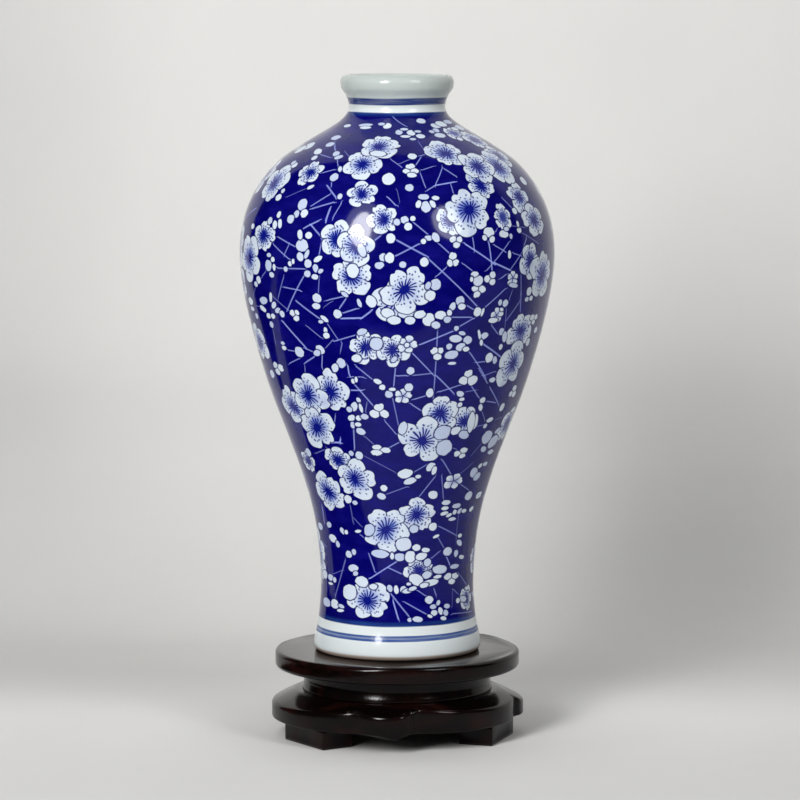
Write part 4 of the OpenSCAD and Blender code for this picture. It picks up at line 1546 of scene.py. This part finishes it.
@dataclass(frozen=True)
class Studio:
    """The pale sweep, the soft lights, and the camera."""

    paper: tuple = (0.69, 0.685, 0.67)
    eye_back: float = 1.5004
    eye_up: float = 0.2893
    eye_side: float = 0.0011
    pitch: float = 6.085
    lens: float = 177.5
    wall_back: float = 0.30
    bend: float = 0.10
    table_front: float = -1.6
    flag_front: float = -0.30  # past here, and left of the next, the object reflects a dark room
    flag_left: float = -0.115
    flag_wall: float = -0.26  # left of here the wall isn't reflected either
    table_half: float = 1.3
    wall_top: float = 1.1

    def build(self) -> None:
        """Puts up the camera, the sweep and the lights."""
        self.camera()
        self.sweep()
        self.flags()
        self.lamp("key_light", -27, 26, 1.3, 0.32, 0.70, 11.6)
        self.lamp("key_skirt", -27, 27, 1.3, 0.56, 1.10, 3.4)
        self.lamp("fill_light", 40, 31, 1.3, 0.45, 0.65, 4.4)
        wall = self.lamp("wall_light", -8, 74, 0.9, 0.9, 0.25, 0.55, aim=(-0.05, 0.26, 0.15), spread=50)
        wall.visible_glossy = False
        self.room()
        bpy.context.scene.view_settings.view_transform = "Standard"

    def room(self) -> None:
        """The room: dim to the object, and pale where it shows behind it."""
        world = bpy.data.worlds.new("room")
        world.use_nodes = True
        t = Tree(world.node_tree)
        background = world.node_tree.nodes["Background"]
        seen = Num(t.tree, t.node("LightPath").outputs["Is Camera Ray"])
        background.inputs["Color"].default_value = (0.93, 0.96, 1.0, 1.0)
        t.feed(background.inputs["Strength"], seen * 0.52 + 0.035)
        bpy.context.scene.world = world

    def camera(self) -> None:
        """A long lens at a little above the mouth's height, looking slightly down."""
        data = bpy.data.cameras.new("camera")
        data.lens = self.lens
        data.sensor_width = 36.0
        data.clip_end = 30.0
        eye = bpy.data.objects.new("camera", data)
        eye.location = (self.eye_side, -self.eye_back, self.eye_up)
        eye.rotation_euler = (math.radians(90 - self.pitch), 0.0, 0.0)
        bpy.context.scene.collection.objects.link(eye)
        bpy.context.scene.camera = eye

    def lamp(self, name: str, azimuth: float, elevation: float, away: float, wide: float, high: float,
             power: float, aim: tuple[float, float, float] = (0.0, 0.0, 0.12),
             spread: float = 180) -> bpy.types.Object:
        """One soft box.

        Args:
            name: its name.
            azimuth: its azimuth.
            elevation: its elevation in degrees.
            away: its distance from what it is aimed at.
            wide: its width.
            high: its height.
            power: its power in watts.
            aim: the point it is aimed at.
            spread: the angle that its grid lets light out in, in degrees.

        Returns:
            The lamp.
        """
        data = bpy.data.lights.new(name, "AREA")
        data.shape = "ELLIPSE"
        data.size, data.size_y = wide, high
        data.energy = power
        data.spread = math.radians(spread)
        lamp = bpy.data.objects.new(name, data)
        turn, rise = math.radians(azimuth), math.radians(elevation)
        towards = Vector((math.cos(rise) * math.sin(turn), -math.cos(rise) * math.cos(turn), math.sin(rise)))
        lamp.location = Vector(aim) + towards * away
        lamp.rotation_euler = towards.to_track_quat("Z", "Y").to_euler()
        bpy.context.scene.collection.objects.link(lamp)
        return lamp

    def flags(self) -> None:
        """Cards on the table and by the wall that only reflections see, against glare on the glaze."""
        for name, shade, middle, wide, deep, rise in (
            ("front_card", 0.0, (0.0, self.flag_front - 0.7, 0.0015), 3.0, 1.4, 0),
            ("left_card", 0.0, (self.flag_left - 0.5, -0.11, 0.0015), 1.0, 0.42, 0),
            ("right_card", 0.44, (self.flag_left + 0.6, -0.11, 0.0010), 1.2, 0.42, 0),
            ("wall_card", 0.0, (self.flag_wall - 0.5, self.wall_back - self.bend, 0.55), 1.0, 1.1, 90),
        ):
            material, _, surface = new_material(name)
            surface.inputs["Base Color"].default_value = (shade, shade, shade, 1.0)
            surface.inputs["Roughness"].default_value = 1.0
            surface.inputs["IOR"].default_value = 1.0  # no gloss at all
            bm = bmesh.new()
            bmesh.ops.create_grid(bm, x_segments=1, y_segments=1, size=0.5)
            bmesh.ops.scale(bm, verts=bm.verts, vec=(wide, deep, 1.0))
            tip = Matrix.Rotation(math.radians(rise), 3, "X")
            bmesh.ops.rotate(bm, verts=bm.verts, cent=(0, 0, 0), matrix=tip)
            bmesh.ops.translate(bm, verts=bm.verts, vec=middle)
            card = finished(name, bm)
            card.data.materials.append(material)
            card.visible_camera = card.visible_diffuse = card.visible_shadow = False

    def sweep(self) -> None:
        """A seamless pale sweep, from the table's front edge up into the wall behind, with painted shade low
        at the bend and on its left.
        """
        bm = bmesh.new()
        points = [(self.table_front, -0.02), (self.table_front, 0.0), (self.wall_back - self.bend, 0.0)]
        points += [
            (self.wall_back - self.bend + self.bend * math.sin(math.radians(a)),
             self.bend - self.bend * math.cos(math.radians(a)))
            for a in range(6, 91, 6)
        ]
        points.append((self.wall_back, self.wall_top))
        verts = [bm.verts.new((-self.table_half, py, pz)) for py, pz in points]
        edges = [bm.edges.new(pair) for pair in zip(verts, verts[1:])]
        wide = bmesh.ops.extrude_edge_only(bm, edges=edges)["geom"]
        far = [v for v in wide if isinstance(v, bmesh.types.BMVert)]
        bmesh.ops.translate(bm, verts=far, vec=(2 * self.table_half, 0, 0))
        floor = finished("sweep", bm)
        if floor.data.polygons[1].normal.z < 0:
            floor.data.flip_normals()
        material, t, surface = new_material("sweep_paper")
        fibre = t.noise(t.place(), 9.0, 4.0, 0.6)
        x, y, z = t.split(t.place())
        # painted shade: the paper is mixed towards black low at the bend, on the table just before it, and on
        # the left of the wall
        behind = z.ramp(0.14, 0.0) * y.ramp(0.02, 0.15)  # painted shade low at the bend, and on the table before it
        left_wall_shade = x.ramp(-0.07, -0.20) * z.ramp(0.0, 0.1)
        dim = behind * 0.26 + left_wall_shade * 0.17
        paper = t.mix(fibre.ramp(0.3, 0.75) * 0.5, self.paper, (0.65, 0.645, 0.635))
        t.feed(surface.inputs["Base Color"], t.mix(dim, paper, (0.0, 0.0, 0.0)))
        surface.inputs["Roughness"].default_value = 0.85
        surface.inputs["IOR"].default_value = 1.25
        through = t.node("BsdfTransparent")  # seen from behind or below, the sweep isn't there
        either = t.node("MixShader")
        t.feed(either.inputs[0], t.node("NewGeometry").outputs["Backfacing"])
        t.feed(either.inputs[1], surface.outputs[0])
        t.feed(either.inputs[2], through.outputs[0])
        end = next(n for n in t.tree.nodes if n.type == "OUTPUT_MATERIAL")
        t.feed(end.inputs["Surface"], either.outputs[0])
        floor.data.materials.append(material)


# ---------------------------------------------------------------- the whole object


def main() -> None:
    """Loads the frame, builds and dresses the vase and the stand, and sets up the studio."""
    logging.basicConfig(level=logging.INFO, format="%(name)s: %(message)s")
    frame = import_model()
    Studio().build()
    Stand().build()
    Vase().build()
    Fastenings().dress(frame["nodes"])


if __name__ == "__main__":
    main()
